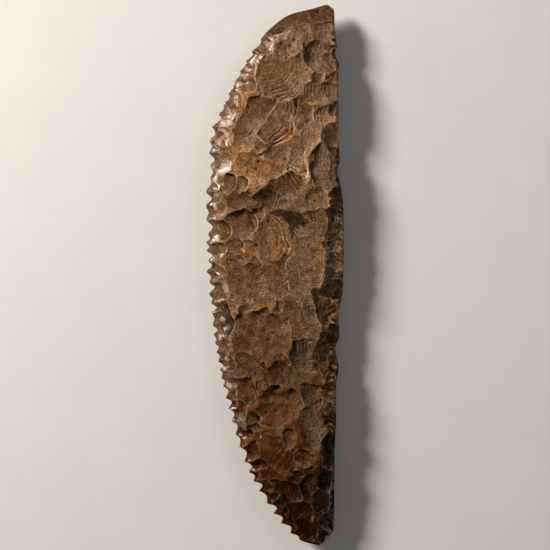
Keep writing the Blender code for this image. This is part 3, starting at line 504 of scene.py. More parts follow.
    # lower middle
    cut(-5.6, -3.2, 0, 9.6, 6.9, 0.45, ripple=0.02, grit=0.6, streak=1.5)
    cut(3.5, -13.6, 75, 6.6, 5.6, 0.3, grit=0.5, shade=0.85)
    cut(-4.4, -17.4, 88, 8, 9.4, 0.6, wall=0.45, grit=0.4, shade=0.9, streak=1.6)
    cut(-7.6, -9.4, -80, 1.3, 1.6, 0.25, shade=1.1)
    cut(-2.4, -9.8, -97, 1.2, 1.8, 0.25, grit=0.8, shade=1.1)
    cut(1.6, -8.6, -70, 1.2, 1.7, 0.25, grit=0.8, shade=1.1)
    cut(11, -13.6, -78, 7.9, 3.4, 0.35, grey=1.2, grit=0.7, shade=1.12, streak=1.8)
    cut(14, -9, -63, 6, 2.7, 0.7, grey=0.5)
    cut(8, -23.8, 95, 6.4, 3.7, 0.45, wall=0.25, grey=0.9, grit=0.8, shade=0.75, streak=2.4)
    cut(-8, -25.7, 0, 6.4, 4.1, 0.4, ripple=0.03, wave=1.3, shade=0.8, streak=1.8)
    cut(2, -23.8, -20, 2.8, 1.9, 0.3, grit=0.8)
    cut(1.4, -27.8, 0, 4.7, 3.7, 0.4, ripple=0.02, grit=0.7, shade=0.7)
    cut(-2.4, -24.6, -80, 1.3, 0.7, 0.3)
    cut(1.6, -36, 85, 5.2, 6.6, 0.5, wall=0.5, streak=1.6)
    cut(-9.3, -32.5, 5, 4.9, 4.2, 0.6, wall=0.8, shade=0.85, streak=2)
    cut(-0.6, -38.6, 0, 5.2, 3.5, 0.35)
    cut(-5.6, -39.9, -10, 2.1, 2.2, 0.35, wall=0.4)
    cut(-10.2, -37.6, -5, 2.7, 3, 0.4, wall=0.4)
    cut(-6.4, -42.7, 10, 2.7, 2, 0.35, wall=0.2)
    cut(10.3, -33.6, -70, 4, 2.8, 0.5, wall=0.15, taper=-0.3, grey=1, ripple=0.03, shade=1.04, streak=2.4)
    cut(10.4, -42.6, -80, 6.6, 3.6, 0.3, grey=1, grit=1, shade=1.15, streak=2.4)
    cut(12.6, -30.7, -20, 2.2, 1.1, 0.25, grey=0.6)
    # lower quarter
    cut(-1.5, -49.3, -28, 8.3, 5, 0.5, ripple=0.024, grey=0, wave=1.3, shade=1.12)
    cut(3.9, -45.8, 80, 2.9, 2.3, 0.22, wall=0.12)
    cut(8.3, -50.8, 90, 2.6, 2.9, 0.2, wall=0.12, grey=0.6, ripple=0.03, shade=1.3)
    cut(10.4, -59.4, 180, 3, 4.6, 0.45, grey=0.9, shade=0.8, streak=2)
    cut(-2.2, -55.7, -10, 5, 3, 0.4, ripple=0.02, grey=0, shade=0.88)
    cut(0.7, -57.2, -50, 1.4, 0.8, 0.35, grey=0)
    cut(5.7, -56.6, -20, 2.4, 1.5, 0.25, grey=0.1)
    cut(6.2, -55, -32, 2.5, 0.8, 0.3, grey=0.1)
    cut(3.4, -59.7, -10, 4.3, 2.8, 0.4, wall=0.35, ripple=0.02, grey=0, shade=0.9)
    cut(3.2, -62, 0, 1.6, 0.7, 0.4)
    cut(13.9, -62.7, 180, 3.7, 3.5, 0.4, grey=0.9, grit=1, shade=0.4, streak=2.2)
    cut(14.6, -57.2, 180, 2.9, 3.6, 0.5, grey=0.9, ripple=0.04, shade=0.32, streak=1.6)
    cut(5.8, -66, -35, 5.3, 4.1, 0.5, wall=0.2, ripple=0.02, grey=0, shade=0.7, streak=1.5)
    cut(8.2, -71.4, -60, 3.4, 3.5, 0.4, ripple=0.02, grey=0, shade=0.55)


def snappedEndCuts(cut):
    cut(3, 69.9, 30, 5, 1.7, 0.2, grit=0.2)
    cut(12.6, 72.4, 8, 4.1, 1.9, 0.15, grit=0.6)
    cut(1.4, 67.9, 20, 2.4, 0.8, 0.2)


def cuttingEdgeCuts(cut):
    cut(-3.3, 63.6, 15, 3.3, 2.4, 0.4, wall=0.5, grey=0.6)
    cut(-7.5, 57.5, 5, 2.7, 2.2, 0.4, wall=0.2, grey=0.5)
    cut(-7.8, 52.8, 5, 2.9, 2.5, 0.4, wall=0.2, grey=0.3)
    cut(-11.2, 48.4, 0, 2.6, 2.6, 0.35, grey=0.4)
    cut(-13, 43.2, 0, 2.4, 2.8, 0.35, wall=0.25, grey=0.4)
    cut(-14.6, 38.4, 0, 2.6, 2.8, 0.4, wall=0.35, grey=0.4)
    cut(-15.4, 29.8, 0, 3, 2, 0.3, grey=0.5, grit=1)
    cut(-16.4, 21.2, 0, 2.2, 1.9, 0.35, grey=0.4)
    cut(-16.2, 17.4, 0, 2.6, 2, 0.35, grey=0.4)
    cut(-15.3, 12.3, 5, 3.3, 2.9, 0.45, wall=0.35, grey=0.4)
    cut(-16, 7, 20, 3, 2.2, 0.4, wall=0.2, grey=0.5)
    cut(-15.8, 1.2, -10, 2.8, 2, 0.4, grey=0.4)
    cut(-15.2, -4.6, -25, 2.9, 2.3, 0.45, wall=0.5, grey=0.6)
    # painted shade: a dark spot on a face turned from the light
    cut(-13.9, -12.4, 0, 2.8, 4.8, 0.5, wall=0.5, grey=0.1, shade=0.35)
    cut(-14, -19.6, -10, 2, 2.6, 0.4, wall=0.4, grey=0.4)
    cut(-13.3, -24.4, -5, 2.3, 2.2, 0.4, wall=0.4, grey=0.4)
    cut(-12.6, -29.6, 0, 2.8, 1.8, 0.35)
    cut(-8.6, -44.2, 20, 2.4, 1.8, 0.35, wall=0.2, grey=0)
    cut(-6, -48.6, 10, 2.4, 2.4, 0.35, grey=0, shade=0.9)
    cut(-4.6, -52.6, 0, 2.6, 1.6, 0.35, wall=0.2, grey=0)
    cut(-2.8, -58.6, 10, 2.6, 1.9, 0.4, wall=0.2, grey=0)
    cut(-0.8, -62.2, 10, 1.8, 1.7, 0.4, wall=0.2, grey=0)
    cut(2, -64.8, 10, 2, 1.9, 0.4, wall=0.2, grey=0, shade=0.45)
    cut(3.6, -68.8, 20, 2.2, 1.6, 0.4, wall=0.2, grey=0, shade=0.4)
    cut(6, -72.4, 40, 1.8, 1.6, 0.35, grey=0, shade=0.3)


def backCuts(cut):
    # the back's bench lies turned from the light: high shades paint light onto its facets, and shallow cuts
    # with low shades paint shade
    cut(17, 63, 180, 2.2, 1.1, 0.3, grey=0.4)
    cut(17.2, 47.2, 180, 1.2, 1.1, 0.4, grey=0.3)
    cut(17.1, 34.3, 150, 2.2, 1.3, 0.4, grey=0.3)
    cut(16.6, 20, 180, 2.2, 1.3, 0.1, grey=0.4, shade=0.45)
    cut(16.6, 17, 180, 2.9, 2.1, 0.4, grey=0.5, ripple=0.03, shade=0.8)
    cut(17.2, 10.6, 180, 3, 4.7, 0.45, grey=1, grit=1, ripple=0.06, wave=0.9, shade=1.6)
    cut(16.7, 3.4, 180, 3, 2.9, 0.4, grey=1, ripple=0.05, wave=0.9, grit=1, shade=1.8)
    cut(17.2, -0.6, 180, 2.4, 1.6, 0.3, grey=1, grit=1, shade=1.9)
    cut(16.4, -4.7, 180, 3.7, 3, 0.5, grey=0.5, shade=0.88)
    cut(15.3, -11, 182, 3.3, 3.8, 0.45, grey=0.6, ripple=0.04, shade=1.5)
    cut(16.6, -17.2, 180, 2.8, 2.8, 0.4, grey=0.5, ripple=0.04, shade=0.5)
    cut(16.3, -14.9, 180, 1.9, 1.2, 0.1, grey=0.4, shade=0.5)
    cut(14.8, -24.2, 180, 4.3, 5.4, 0.6, grey=0.7, ripple=0.03, shade=1.3, streak=1.5)
    cut(16.4, -26.5, 180, 1.6, 1.2, 0.3, grey=0.6)
    cut(16.4, -30, 180, 1.8, 2.2, 0.35, grey=0.8, shade=1.8)
    cut(15.4, -37.4, 180, 2.8, 5.3, 0.3, grey=0.9, shade=1.9)
    cut(15.2, -41.4, 180, 2.4, 1.7, 0.1, grey=0.4, shade=0.7)
    # painted shade: a steep scar darkened as a face turned from the light
    cut(15.8, -49, 180, 3.1, 4.9, 0.7, wall=0.15, grey=0.3, ripple=0.03, shade=0.34)
    cut(15, -68.4, 180, 2.7, 2.7, 0.5, wall=0.2, grey=1.3, ripple=0.05, shade=2.2)
    cut(13.8, -73, -60, 2.6, 1.6, 0.3, grey=0.5)


def hinges(hinge):
    # hinge and step lines: drop, reach, then the path as across and along in turn
    # dark lines: the fall is to the right or below
    hinge(0.4, 1.6, -2.4, 35.2, -0.8, 35.9, 1, 36.4, 2.9, 37.7, 4.2, 39.8, 4.7, 41.5)
    hinge(0.3, 1.5, -12, 38.1, -9.6, 38.2, -8, 39.1, -6, 40.8, -3.9, 42.8)
    hinge(0.35, 1.8, 9.6, 23.7, 9.6, 26, 9, 28.4, 9, 30, 9.3, 32, 10, 33.4, 11.6, 34.8, 13, 36.9)
    hinge(0.35, 1.5, 14.9, 35.2, 13.5, 38.8, 12.9, 41.8)
    hinge(0.4, 1, 9.2, 43.2, 10, 41.6)
    hinge(0.4, 1.6, 8.8, 61, 8.2, 62.4, 8.2, 63.8, 8.9, 65.6)
    hinge(0.35, 1.5, -13.6, 35.6, -12, 38)
    hinge(0.35, 1.5, -10.8, 18.4, -8.6, 18, -7.3, 17)
    hinge(0.4, 1.2, -6.5, 16.6, -4.8, 18.2)
    hinge(0.4, 1.4, -7.6, 16.2, -6.6, 14.8, -5.6, 13)
    hinge(0.3, 1.2, -11.1, 23, -11.5, 25.6, -12.4, 27.1, -13.8, 27.8)
    hinge(0.3, 1, -7.4, 23.9, -8.1, 25.6, -9, 26.8)
    hinge(0.3, 1.2, -14, 4.9, -12.4, 4, -10, 3.6, -8.8, 3.1, -8, 2.4)
    hinge(0.3, 1, -16, 0, -13.8, -0.5)
    hinge(0.3, 1.2, -13.4, -16.8, -12, -14.6, -11.4, -12.4, -11.2, -10, -11.5, -8)
    hinge(0.3, 1.2, -11.7, -25.7, -11.4, -24, -12.2, -22.6, -13, -20.8, -13.5, -18.6)
    hinge(0.4, 1.6, 10.8, -21.2, 12.8, -19, 14, -16.5, 14.3, -14.2)
    hinge(0.35, 1.6, 14.3, -14.2, 12.8, -12.4, 11.5, -9.4, 10.2, -6)
    hinge(0.35, 1.6, 4.5, -22, 4.9, -19.8, 5.8, -18.1, 7, -17.5)
    hinge(0.3, 1.2, 12.9, -7.4, 13.1, -3, 13.6, 0, 13.9, 3.6)
    hinge(0.3, 1.4, 16.2, 5.6, 15.1, 8.8, 14.9, 11.8, 13.6, 14.6)
    hinge(0.45, 1.6, -3.5, -31.6, -1.6, -32.1, 1, -31.5, 3, -30.8)
    hinge(0.4, 1.4, -6.2, -36.2, -5, -34, -4.4, -31, -4.4, -28.6)
    hinge(0.3, 1.2, -7.6, -39.6, -7.8, -36.6, -7.2, -34.8)
    hinge(0.3, 1.4, -3.5, -40.8, -1, -41.1, 1.5, -41.2, 3, -40.3)
    hinge(0.35, 1.2, 1.8, -44.6, 2.8, -43.1, 4, -42.7, 5.1, -43.8, 5.9, -45.2)
    hinge(0.35, 1.4, 6.1, -49.4, 7.2, -48.8, 8.1, -48.3, 9.2, -49, 10.5, -49.4)
    hinge(0.3, 1.2, 3.9, -53.6, 3, -52.8, 2.7, -51.6)
    hinge(0.4, 1.2, 7.6, -62.6, 8, -61, 7.8, -59.6, 7, -57.6)
    hinge(0.35, 1.5, 14.9, -53.8, 13.5, -51, 12.9, -48, 12.9, -45)
    hinge(0.3, 1.2, 12.3, -37.6, 12.5, -35, 12.4, -32)
    hinge(0.3, 1.2, 10.7, -24, 11.1, -21.6)
    hinge(0.35, 1, 6.1, 46, 5.8, 47.6, 5.5, 49)
    hinge(0.25, 1, 13, -45.6, 13.9, -42.4, 13.2, -39.6, 11.6, -37.4, 9.6, -36.5)
    # bright walls: the fall is to the left or above
    hinge(0.35, 1.2, -0.7, 65.7, -0.3, 64.6, -1.6, 62.6, -4.5, 61)
    hinge(0.25, 1.4, 4.7, 41, 3.2, 37.4, 1, 36.1, -2, 34.8)
    hinge(0.3, 1.4, 9.2, 36.4, 8.6, 32, 8.3, 28, 8.8, 24.4)
    hinge(0.3, 1.2, -3.9, 37.2, -5.2, 35.5)
    hinge(0.3, 1.2, -11.8, 12.6, -13.2, 11, -15.3, 9.6)
    hinge(0.3, 1, -8, 8.5, -9, 6.8)
    hinge(0.3, 1.2, -14, 6.6, -16, 3.7)
    hinge(0.35, 1, -13, -3, -12.7, -4.6, -15.5, -7.2)
    hinge(0.3, 1.4, -5, -9, -7.3, -9.9)
    hinge(0.25, 1.2, 8, 24, 7, 25.3, 4.6, 28.2)
    hinge(0.25, 1.2, 13.4, 3, 12.7, 0, 12.3, -4, 12.2, -7)
    hinge(0.25, 1.2, 10.5, -8, 12, -12, 13.5, -14.4)
    hinge(0.22, 1, 7.4, 13, 5.5, 8.5, 3.9, 4, 3.1, 0, 3.5, -3.5, 5.2, -6.4, 8, -7.4, 10.6, -6.8)
    hinge(0.25, 1, 9.2, -58, 10, -61.5, 11.4, -64.4, 12.8, -66.2)


# small pits: across, along, radius, depth
pits = [
    (5.6, 65, 0.45, 0.5), (4.4, 63.4, 0.5, 0.35), (2, 64, 0.5, 0.3), (3.4, 60.2, 0.35, 0.4),
    (4, 60.8, 0.3, 0.35), (15.3, 64, 0.35, 0.3), (15.4, 62.3, 0.3, 0.3), (10.2, 62, 0.35, 0.35),
    (12.1, 73, 0.5, 0.35), (15, 74.3, 0.4, 0.3), (-5.1, 29.2, 0.45, 0.4), (-4.3, 31.3, 0.5, 0.45),
    (-3.6, 33.2, 0.5, 0.5), (2.9, 32, 0.5, 0.55), (3.8, 29.3, 0.3, 0.35), (8.7, 28.6, 0.35, 0.4),
    (0, 26.1, 0.6, 0.3), (2.1, 28.3, 0.4, 0.3), (-2.8, -15.5, 0.4, 0.4), (-0.3, -16.1, 0.5, 0.35),
    (-1.5, -18, 0.4, 0.3), (3.6, -12.4, 0.35, 0.3), (0.6, -37.6, 0.6, 0.45), (-2.2, -38.2, 0.5, 0.35),
    (-4.1, -39.6, 0.5, 0.5), (-12.6, 6.6, 0.5, 0.4), (-5, 8.1, 0.4, 0.4), (-5.3, 11.6, 0.5, 0.35),
    (-5.6, 13.4, 0.4, 0.35), (-4.6, 12.4, 0.3, 0.3), (-1.6, 14.9, 0.5, 0.35), (-0.7, -56.8, 0.5, 0.3),
    (4.9, -54.1, 0.5, 0.35), (10.4, -53.3, 0.6, 0.4), (13, -66, 0.45, 0.4), (15.6, -69.4, 0.4, 0.4),
    (14, -70, 0.4, 0.3), (1.2, 8.3, 0.25, 0.2), (-6.5, 22.4, 0.5, 0.5),
]
# patches of gloss along the cutting edge, also painted pale as highlights: across, along, reach, strength
glossAndPaintedHighlightPatches = [
    (-1.2, 64, 1.4, 1), (-5.6, 59.2, 0.9, 0.8), (-7.2, 57.6, 0.9, 0.9), (-8.4, 55, 1.1, 0.9),
    (-9.6, 52.2, 0.9, 0.7), (-11, 48.8, 1.1, 0.9), (-12.2, 45.2, 1.1, 0.9), (-13.2, 42.6, 1.4, 1),
    (-14.6, 39.6, 1.2, 0.9), (-13.4, 37.6, 1, 0.8), (-15.8, 36, 0.9, 0.8), (-14.2, 29.8, 1.9, 1),
    (-16.8, 31, 0.9, 0.7), (-16.4, 26.8, 0.9, 0.9), (-16.2, 24.4, 0.9, 0.6), (-16.2, 21.4, 1, 1),
    (-16.8, 18.6, 0.7, 0.9), (-17, 15.7, 0.7, 0.9), (-16.6, 10.4, 1, 0.9), (-15.4, 5.4, 1, 0.9),
    (-17.2, 2.2, 0.7, 0.7), (-13.4, -4, 1.1, 0.8), (-15.2, -7, 0.8, 0.7), (-14.6, -12.6, 0.9, 0.9),
    (-15.4, -16.6, 0.6, 1), (-12, -20, 0.9, 0.5), (-13.8, -23.2, 0.9, 1), (-14, -26.8, 0.7, 0.9),
    (-13.4, -30.6, 0.7, 0.9), (-11.9, -37, 0.6, 1), (-9.8, -44.2, 0.5, 1), (-8.6, -45.4, 0.5, 1),
    (-4, -45.4, 0.5, 0.8), (-9, -47.8, 0.4, 1), (-7.4, -51.2, 0.4, 0.8), (-6.7, -54.8, 0.5, 1),
    (0, -66.3, 0.5, 1), (2, -69, 0.5, 0.8), (14.2, -72.6, 0.7, 0.8), (-0.9, 8.6, 0.4, 0.3),
    (-8.6, 7.6, 0.6, 0.5),
]


def toothNotches(relief, seed):
    # a short scar behind each gap between two teeth
    rng = np.random.default_rng(seed)
    tips = bladeSizes["toothTips"]
    for upper, lower in zip(tips[:-1], tips[1:]):
        gap = upper - lower
        middle = upper - gap * (0.5 + 0.08 * rng.random())  # a little below half way
        edge = float(np.interp(-middle, -relief.ys, relief.plan.notched))
        slope = float(np.interp(-middle, -relief.ys, relief.plan.leftSlope))
        heading = -math.degrees(math.atan(slope)) + 16 * (rng.random() - 0.5)
        length = 1.0 + 0.2 * gap * (0.5 + rng.random())
        wall = 0.12 * rng.random()
        grey = 0.5 if middle > -45 else 0
        relief.cut(edge - 0.1, middle, heading, length + 0.5, 0.5 * gap + 0.15,
                   bladeSizes["notchHollow"], wall, taper=-0.15, grey=grey, atEdge=True)


def chipBack(relief, seed):
    # small chips side by side down the blunt back, and a second row where its bench is broad
    rng = np.random.default_rng(seed)
    place = bladeSizes["chipSpan"][1]
    while place > bladeSizes["chipSpan"][0]:
        edge = float(np.interp(-place, -relief.ys, relief.plan.right))
        width = float(through(bladeSizes["backBevel"], np.array([place]))[0])
        heading = 180 + 50 * (rng.random() - 0.5)
        length = 0.5 + 0.28 * width * (0.4 + rng.random())
        relief.cut(edge - 0.2, place, heading, length, 0.5 + 0.8 * rng.random(), 0.12 + 0.12 * rng.random(),
                   grit=0.8, atEdge=True, **relief.stoneAt(edge - 1, place))
        if width > bladeSizes["broadBench"]:
            inward = (0.3 + 0.6 * rng.random()) * width
            beside = place + rng.random()
            relief.cut(edge - inward, beside, heading, 0.8 + rng.random(), 0.6 + 0.7 * rng.random(), 0.18,
                       wall=0.1, grit=0.9, **relief.stoneAt(edge - inward, beside))
        place -= 0.8 + 1.2 * rng.random()


def nick(relief, seed, number):
    # small spalls broken off the arrises
    rng = np.random.default_rng(seed)
    rows, cols = np.nonzero(relief.meetings() & (relief.inside > 1.2) & (relief.owner != 0))
    for k in rng.integers(0, len(rows), number):
        at = rows[k], cols[k]
        size = 0.3 + 0.6 * rng.random() ** 2
        heading = 360 * rng.random()
        length = size * (1.2 + 1.4 * rng.random())
        relief.cut(relief.x[at], relief.y[at], heading, length, size, 0.02 + 0.07 * size,
                   grey=relief.grey[at], grit=relief.grit[at], shade=relief.shade[at])


def pit(relief, across, along, radius, depth):
    # a small hole in the stone
    rows, cols = relief.window(across, along, 3 * radius)
    gap = np.hypot(relief.x[rows, cols] - across, relief.y[rows, cols] - along)
    relief.fissure[rows, cols] -= depth * np.exp(-((gap / radius) ** 2)) * relief.settled[rows, cols]


def addGlossAndPaintedHighlight(relief, across, along, reach, strength):
    # a patch polished by use and painted pale as a highlight, with an uneven outline
    rows, cols = relief.window(across, along, 2.6 * reach)
    x = relief.x[rows, cols] + 1.6 * relief.warpX[rows, cols]
    y = relief.y[rows, cols] + 1.6 * relief.warpY[rows, cols]
    patch = strength * np.exp(-((np.hypot(x - across, y - along) / reach) ** 3))
    relief.glossAndPaintedHighlight[rows, cols] = np.maximum(relief.glossAndPaintedHighlight[rows, cols], patch)


def sharpenArrises(relief, seed):
    # a fine crest where two scars meet, and small unevenness on every face
    crest = np.clip(blurred(relief.meetings().astype(float), relief.cell, 0.1) / 0.5, 0, 1.2)
    relief.fissure += bladeSizes["crestHeight"] * relief.settled * relief.breakUp * crest
    uneven = -1.3 * np.abs(grain(relief.x.shape, relief.cell, bladeSizes["unevenLump"], seed))
    uneven *= 1 + bladeSizes["rougherBelow"] * ease(-2, -24, relief.y)
    relief.fissure += bladeSizes["unevenness"] * uneven * relief.settled * (0.4 + relief.grit)


def trimEdges(relief, seed):
    # the toothed edge comes up at its own slope, and the blunt back has a bench
    sizes, y = bladeSizes, relief.y
    lump, size = sizes["edgeLump"]
    easing, breadth = sizes["edgeEasing"]
    fromRim = np.clip(relief.fromRim, 0, None)
    slope = through(sizes["edgeSlope"], y) * (1 + lump * grain(y.shape, relief.cell, size, seed))
    relief.trim(slope * fromRim * (1 - easing * np.clip(fromRim, 0, breadth)))
    share = np.clip(relief.fromBack / through(sizes["backBevel"], y), 0, 2)
    raised = (y > sizes["backLift"][-1][0]) & (y < sizes["backLift"][0][0])
    lift = np.where(raised, through(sizes["backLift"], y), 0)
    bench = through(sizes["bench"], share) + lift * np.clip(1 - share, 0, 1)
    relief.trim(through(sizes["rise"], y) * bench, sizes["benchGrey"])


def trimEnds(relief):
    # a smooth facet closes the snapped end, and a slope the point
    sizes, y = bladeSizes, relief.y
    outlineAlong, ridgeAlong = (
        np.interp(relief.x, *np.array(sizes[line]).T) for line in ("endOutline", "endRidge")
    )
    fromEnd = (outlineAlong - y) / np.clip(outlineAlong - ridgeAlong, sizes["endLeast"], None)
    snapped = (y > sizes["endStart"]) & (fromEnd < 1)
    facet = sizes["endHeight"] * np.clip(fromEnd, 0, None)
    relief.height = np.where(snapped, np.minimum(relief.height, facet), relief.height)
    for field, value in ((relief.rings, 0), (relief.owner, -2), (relief.grey, -1), (relief.shade, 1)):
        field[snapped] = value
    start, tip, slope = sizes["point"]
    relief.trim(np.where(y < start, slope * (y - tip), 99))


def shapeTop():
    seeds = bladeSizes["topSeeds"]
    relief = Relief(bladeSizes["cell"], seeds["relief"])
    topDome(relief, seeds["dome"])
    # the broad scars come first, and the edges and ends cut them off
    bodyCuts(relief.cut)
    trimEdges(relief, seeds["edge"])
    trimEnds(relief)
    backCuts(relief.cut)
    relief.height = np.minimum(relief.height, bladeSizes["bluff"] * np.clip(relief.fromBack, 0, None))
    relief.closeRim()
    snappedEndCuts(partial(relief.cut, grey=-1, atEdge=True))
    cuttingEdgeCuts(partial(relief.cut, atEdge=True))
    toothNotches(relief, seeds["notches"])
    chipBack(relief, seeds["chips"])
    relief.thicken()
    nick(relief, seeds["spalls"], bladeSizes["spalls"])
    hinges(relief.hinge)
    for place in pits:
        pit(relief, *place)
    for place in glossAndPaintedHighlightPatches:
        addGlossAndPaintedHighlight(relief, *place)
    sharpenArrises(relief, seeds["arrises"])
    return relief


def shapeUnder():
    # the underside is plainer: broad scars run in from both edges
    sizes, seeds = bladeSizes, bladeSizes["underSeeds"]
    relief = Relief(sizes["underCell"], seeds["relief"])
    rng = np.random.default_rng(seeds["scars"])
    x, y, plan = relief.x, relief.y, relief.plan
    share = np.clip((x - plan.left[:, None]) / (plan.right - plan.left)[:, None], 0, 1)
    lengthwise = np.clip(1 - (np.abs(y) / sizes["underReach"]) ** 2.8, 0, None) ** 0.8
    dome = sizes["underBulge"] * lengthwise * (1 - sizes["underCamber"] * (2 * share - 1) ** 2)
    lump, size = sizes["edgeLump"]
    relief.height = dome + lump * grain(x.shape, relief.cell, size, seeds["dome"])
    for side, edgeOfSide in ((-1, plan.left), (1, plan.right)):
        place = sizes["underStart"]
        while place > sizes["chipSpan"][0]:
            edge = float(np.interp(-place, -relief.ys, edgeOfSide))
            length, halfWidth = 6.5 + 3.5 * rng.random(), 4 + 2.6 * rng.random()
            heading = (0 if side < 0 else 180) + 40 * (rng.random() - 0.5)
            depth = 0.4 + 0.3 * rng.random()
            wall = 0.3 * (rng.random() > 0.6)
            relief.cut(edge - side * 0.75 * length, place, heading, length, halfWidth, depth, wall,
                       ripple=0.03, grey=0.4)
            place -= sizes["underSpacing"] * halfWidth
    fromRim, fromBack = np.clip(relief.fromRim, 0, None), np.clip(relief.fromBack, 0, None)
    toothSlope, backSlope = sizes["underSlopes"]
    relief.trim(np.minimum(toothSlope * fromRim, backSlope * fromBack + sizes["underStep"]))
    relief.closeRim()
    toothNotches(relief, seeds["notches"])
    chipBack(relief, seeds["chips"])
    relief.thicken()
    sharpenArrises(relief, seeds["arrises"])
    return relief


def skinFields(relief, surface):
    # what the material reads off the relief, among it the masks for painted shade and painted highlights
    crease = surface - blurred(surface, relief.cell, bladeSizes["creaseBlur"])
    crease /= bladeSizes["creaseHeight"]
    near, far = (blurred(surface, relief.cell, size) for size in bladeSizes["paintedShadingBlur"])
    wear, stop = bladeSizes["edgeWear"]
    toothEdge = np.exp(-((np.clip(relief.fromLeft, 0, None) / wear) ** stop))
    return {
        # masks for painted highlights on the arrises and painted shade in the hollows
        "paintedArrisHighlight": np.clip(crease, 0, 1),
        "hollow": np.clip(-crease, 0, 1),
        "broadPaintedShading": np.clip((near - far) / bladeSizes["paintedShadingHeight"], -1, 1),
        "patina": relief.grey,
        "shade": relief.shade,
        "grit": relief.grit,
        "glossAndPaintedHighlight": relief.glossAndPaintedHighlight,
        "toothEdge": toothEdge * (relief.grey >= 0),
    }


def addSkin(name, plan, columns, relief, facing):
    # a grid from edge to edge, its points set to the relief above the rim (1) or below it (-1)
    s = np.linspace(0, 1, columns)
    share = s - bladeSizes["crowding"] * np.sin(2 * math.pi * s)
    x = plan.notched[:, None] + (plan.right - plan.notched)[:, None] * share
    y = np.repeat(plan.along[:, None], columns, axis=1)
    surface = np.clip(relief.height + relief.rings + relief.fissure, 0, None)
    z = plan.rim[:, None] + facing * relief.read(surface, x, y)
    z[:, 0] = plan.rim
    z[:, -1] = plan.rim
    half = columns // 2
    for end in (0, -1):  # each end closes on the two corners of the outline
        x[end, :half], x[end, half:] = plan.notched[end], plan.right[end]
        z[end] = plan.rim[end]
    z = np.clip(z, 0, bladeSizes["top"])
    low, high = bladeSizes["seatSpan"]
    seated = (y > low) & (y < high)
    x = np.where(seated, np.minimum(x, bladeSizes["seatReach"]), x)

    bpy.ops.object.select_all(action="DESELECT")
    bpy.ops.mesh.primitive_grid_add(x_subdivisions=columns - 1, y_subdivisions=len(plan.along) - 1, size=1)
    skin = bpy.context.active_object
    skin.name = name
    mesh = skin.data
    # the grid's own vertices, sorted into rows from the snapped end and columns from the cutting edge
    start = np.empty(len(mesh.vertices) * 3)
    mesh.vertices.foreach_get("co", start)
    start = start.reshape(-1, 3)
    order = np.lexsort((np.round(start[:, 0], 6), -np.round(start[:, 1], 6)))
    placed = np.empty_like(start)
    placed[order, 0] = (x.ravel() - bladeSizes["middle"]) * mm
    placed[order, 1] = y.ravel() * mm
    placed[order, 2] = z.ravel() * mm
    mesh.vertices.foreach_set("co", placed.ravel())
    for label, values in skinFields(relief, surface).items():
        layer = mesh.attributes.new(label, "FLOAT", "POINT")
        ordered = np.empty(len(order), np.float32)
        ordered[order] = relief.read(values, x, y).ravel()
        layer.data.foreach_set("value", ordered)
    return skin


def buildBlade():
    fine = np.linspace(bladeSizes["halfLength"], -bladeSizes["halfLength"], 4001)
    edge = through(bladeSizes["cuttingEdge"], fine)
    run = np.concatenate([[0], np.cumsum(np.hypot(np.diff(fine), np.diff(edge)))])
    # rows evenly spaced along the curved cutting edge
    plan = Plan(np.interp(np.linspace(0, run[-1], bladeSizes["rows"]), run, fine))
    top = addSkin("saw_blade_skin", plan, bladeSizes["topColumns"], shapeTop(), 1)
    print("upper face carved")
    under = addSkin("under", plan, bladeSizes["underColumns"], shapeUnder(), -1)
    print("underside carved")
    bpy.ops.object.select_all(action="DESELECT")
    under.select_set(True)
    top.select_set(True)
    bpy.context.view_layer.objects.active = top
    bpy.ops.object.join()
    bpy.ops.object.mode_set(mode="EDIT")
    bpy.ops.mesh.select_all(action="SELECT")
    bpy.ops.mesh.remove_doubles(threshold=bladeSizes["weld"])
    bpy.ops.mesh.quads_convert_to_tris()
    bpy.ops.mesh.normals_make_consistent(inside=False)
    bpy.ops.object.mode_set(mode="OBJECT")
    thin = top.modifiers.new("thin", "DECIMATE")
    thin.ratio = bladeSizes["mostTriangles"] / len(top.data.polygons)
    bpy.ops.object.modifier_apply(modifier=thin.name)
    # thinning may push a point out of the blade's box, so all are held inside it
    corner = np.empty(len(top.data.vertices) * 3)
    top.data.vertices.foreach_get("co", corner)
    low, high = (np.array(bladeSizes[end]) * mm for end in ("boxLow", "boxHigh"))
    corner = np.clip(corner.reshape(-1, 3), low, high)
    top.data.vertices.foreach_set("co", corner.ravel())
    top.data.update()
    bpy.ops.object.shade_smooth_by_angle(angle=math.radians(bladeSizes["smoothAngle"]))
    return top


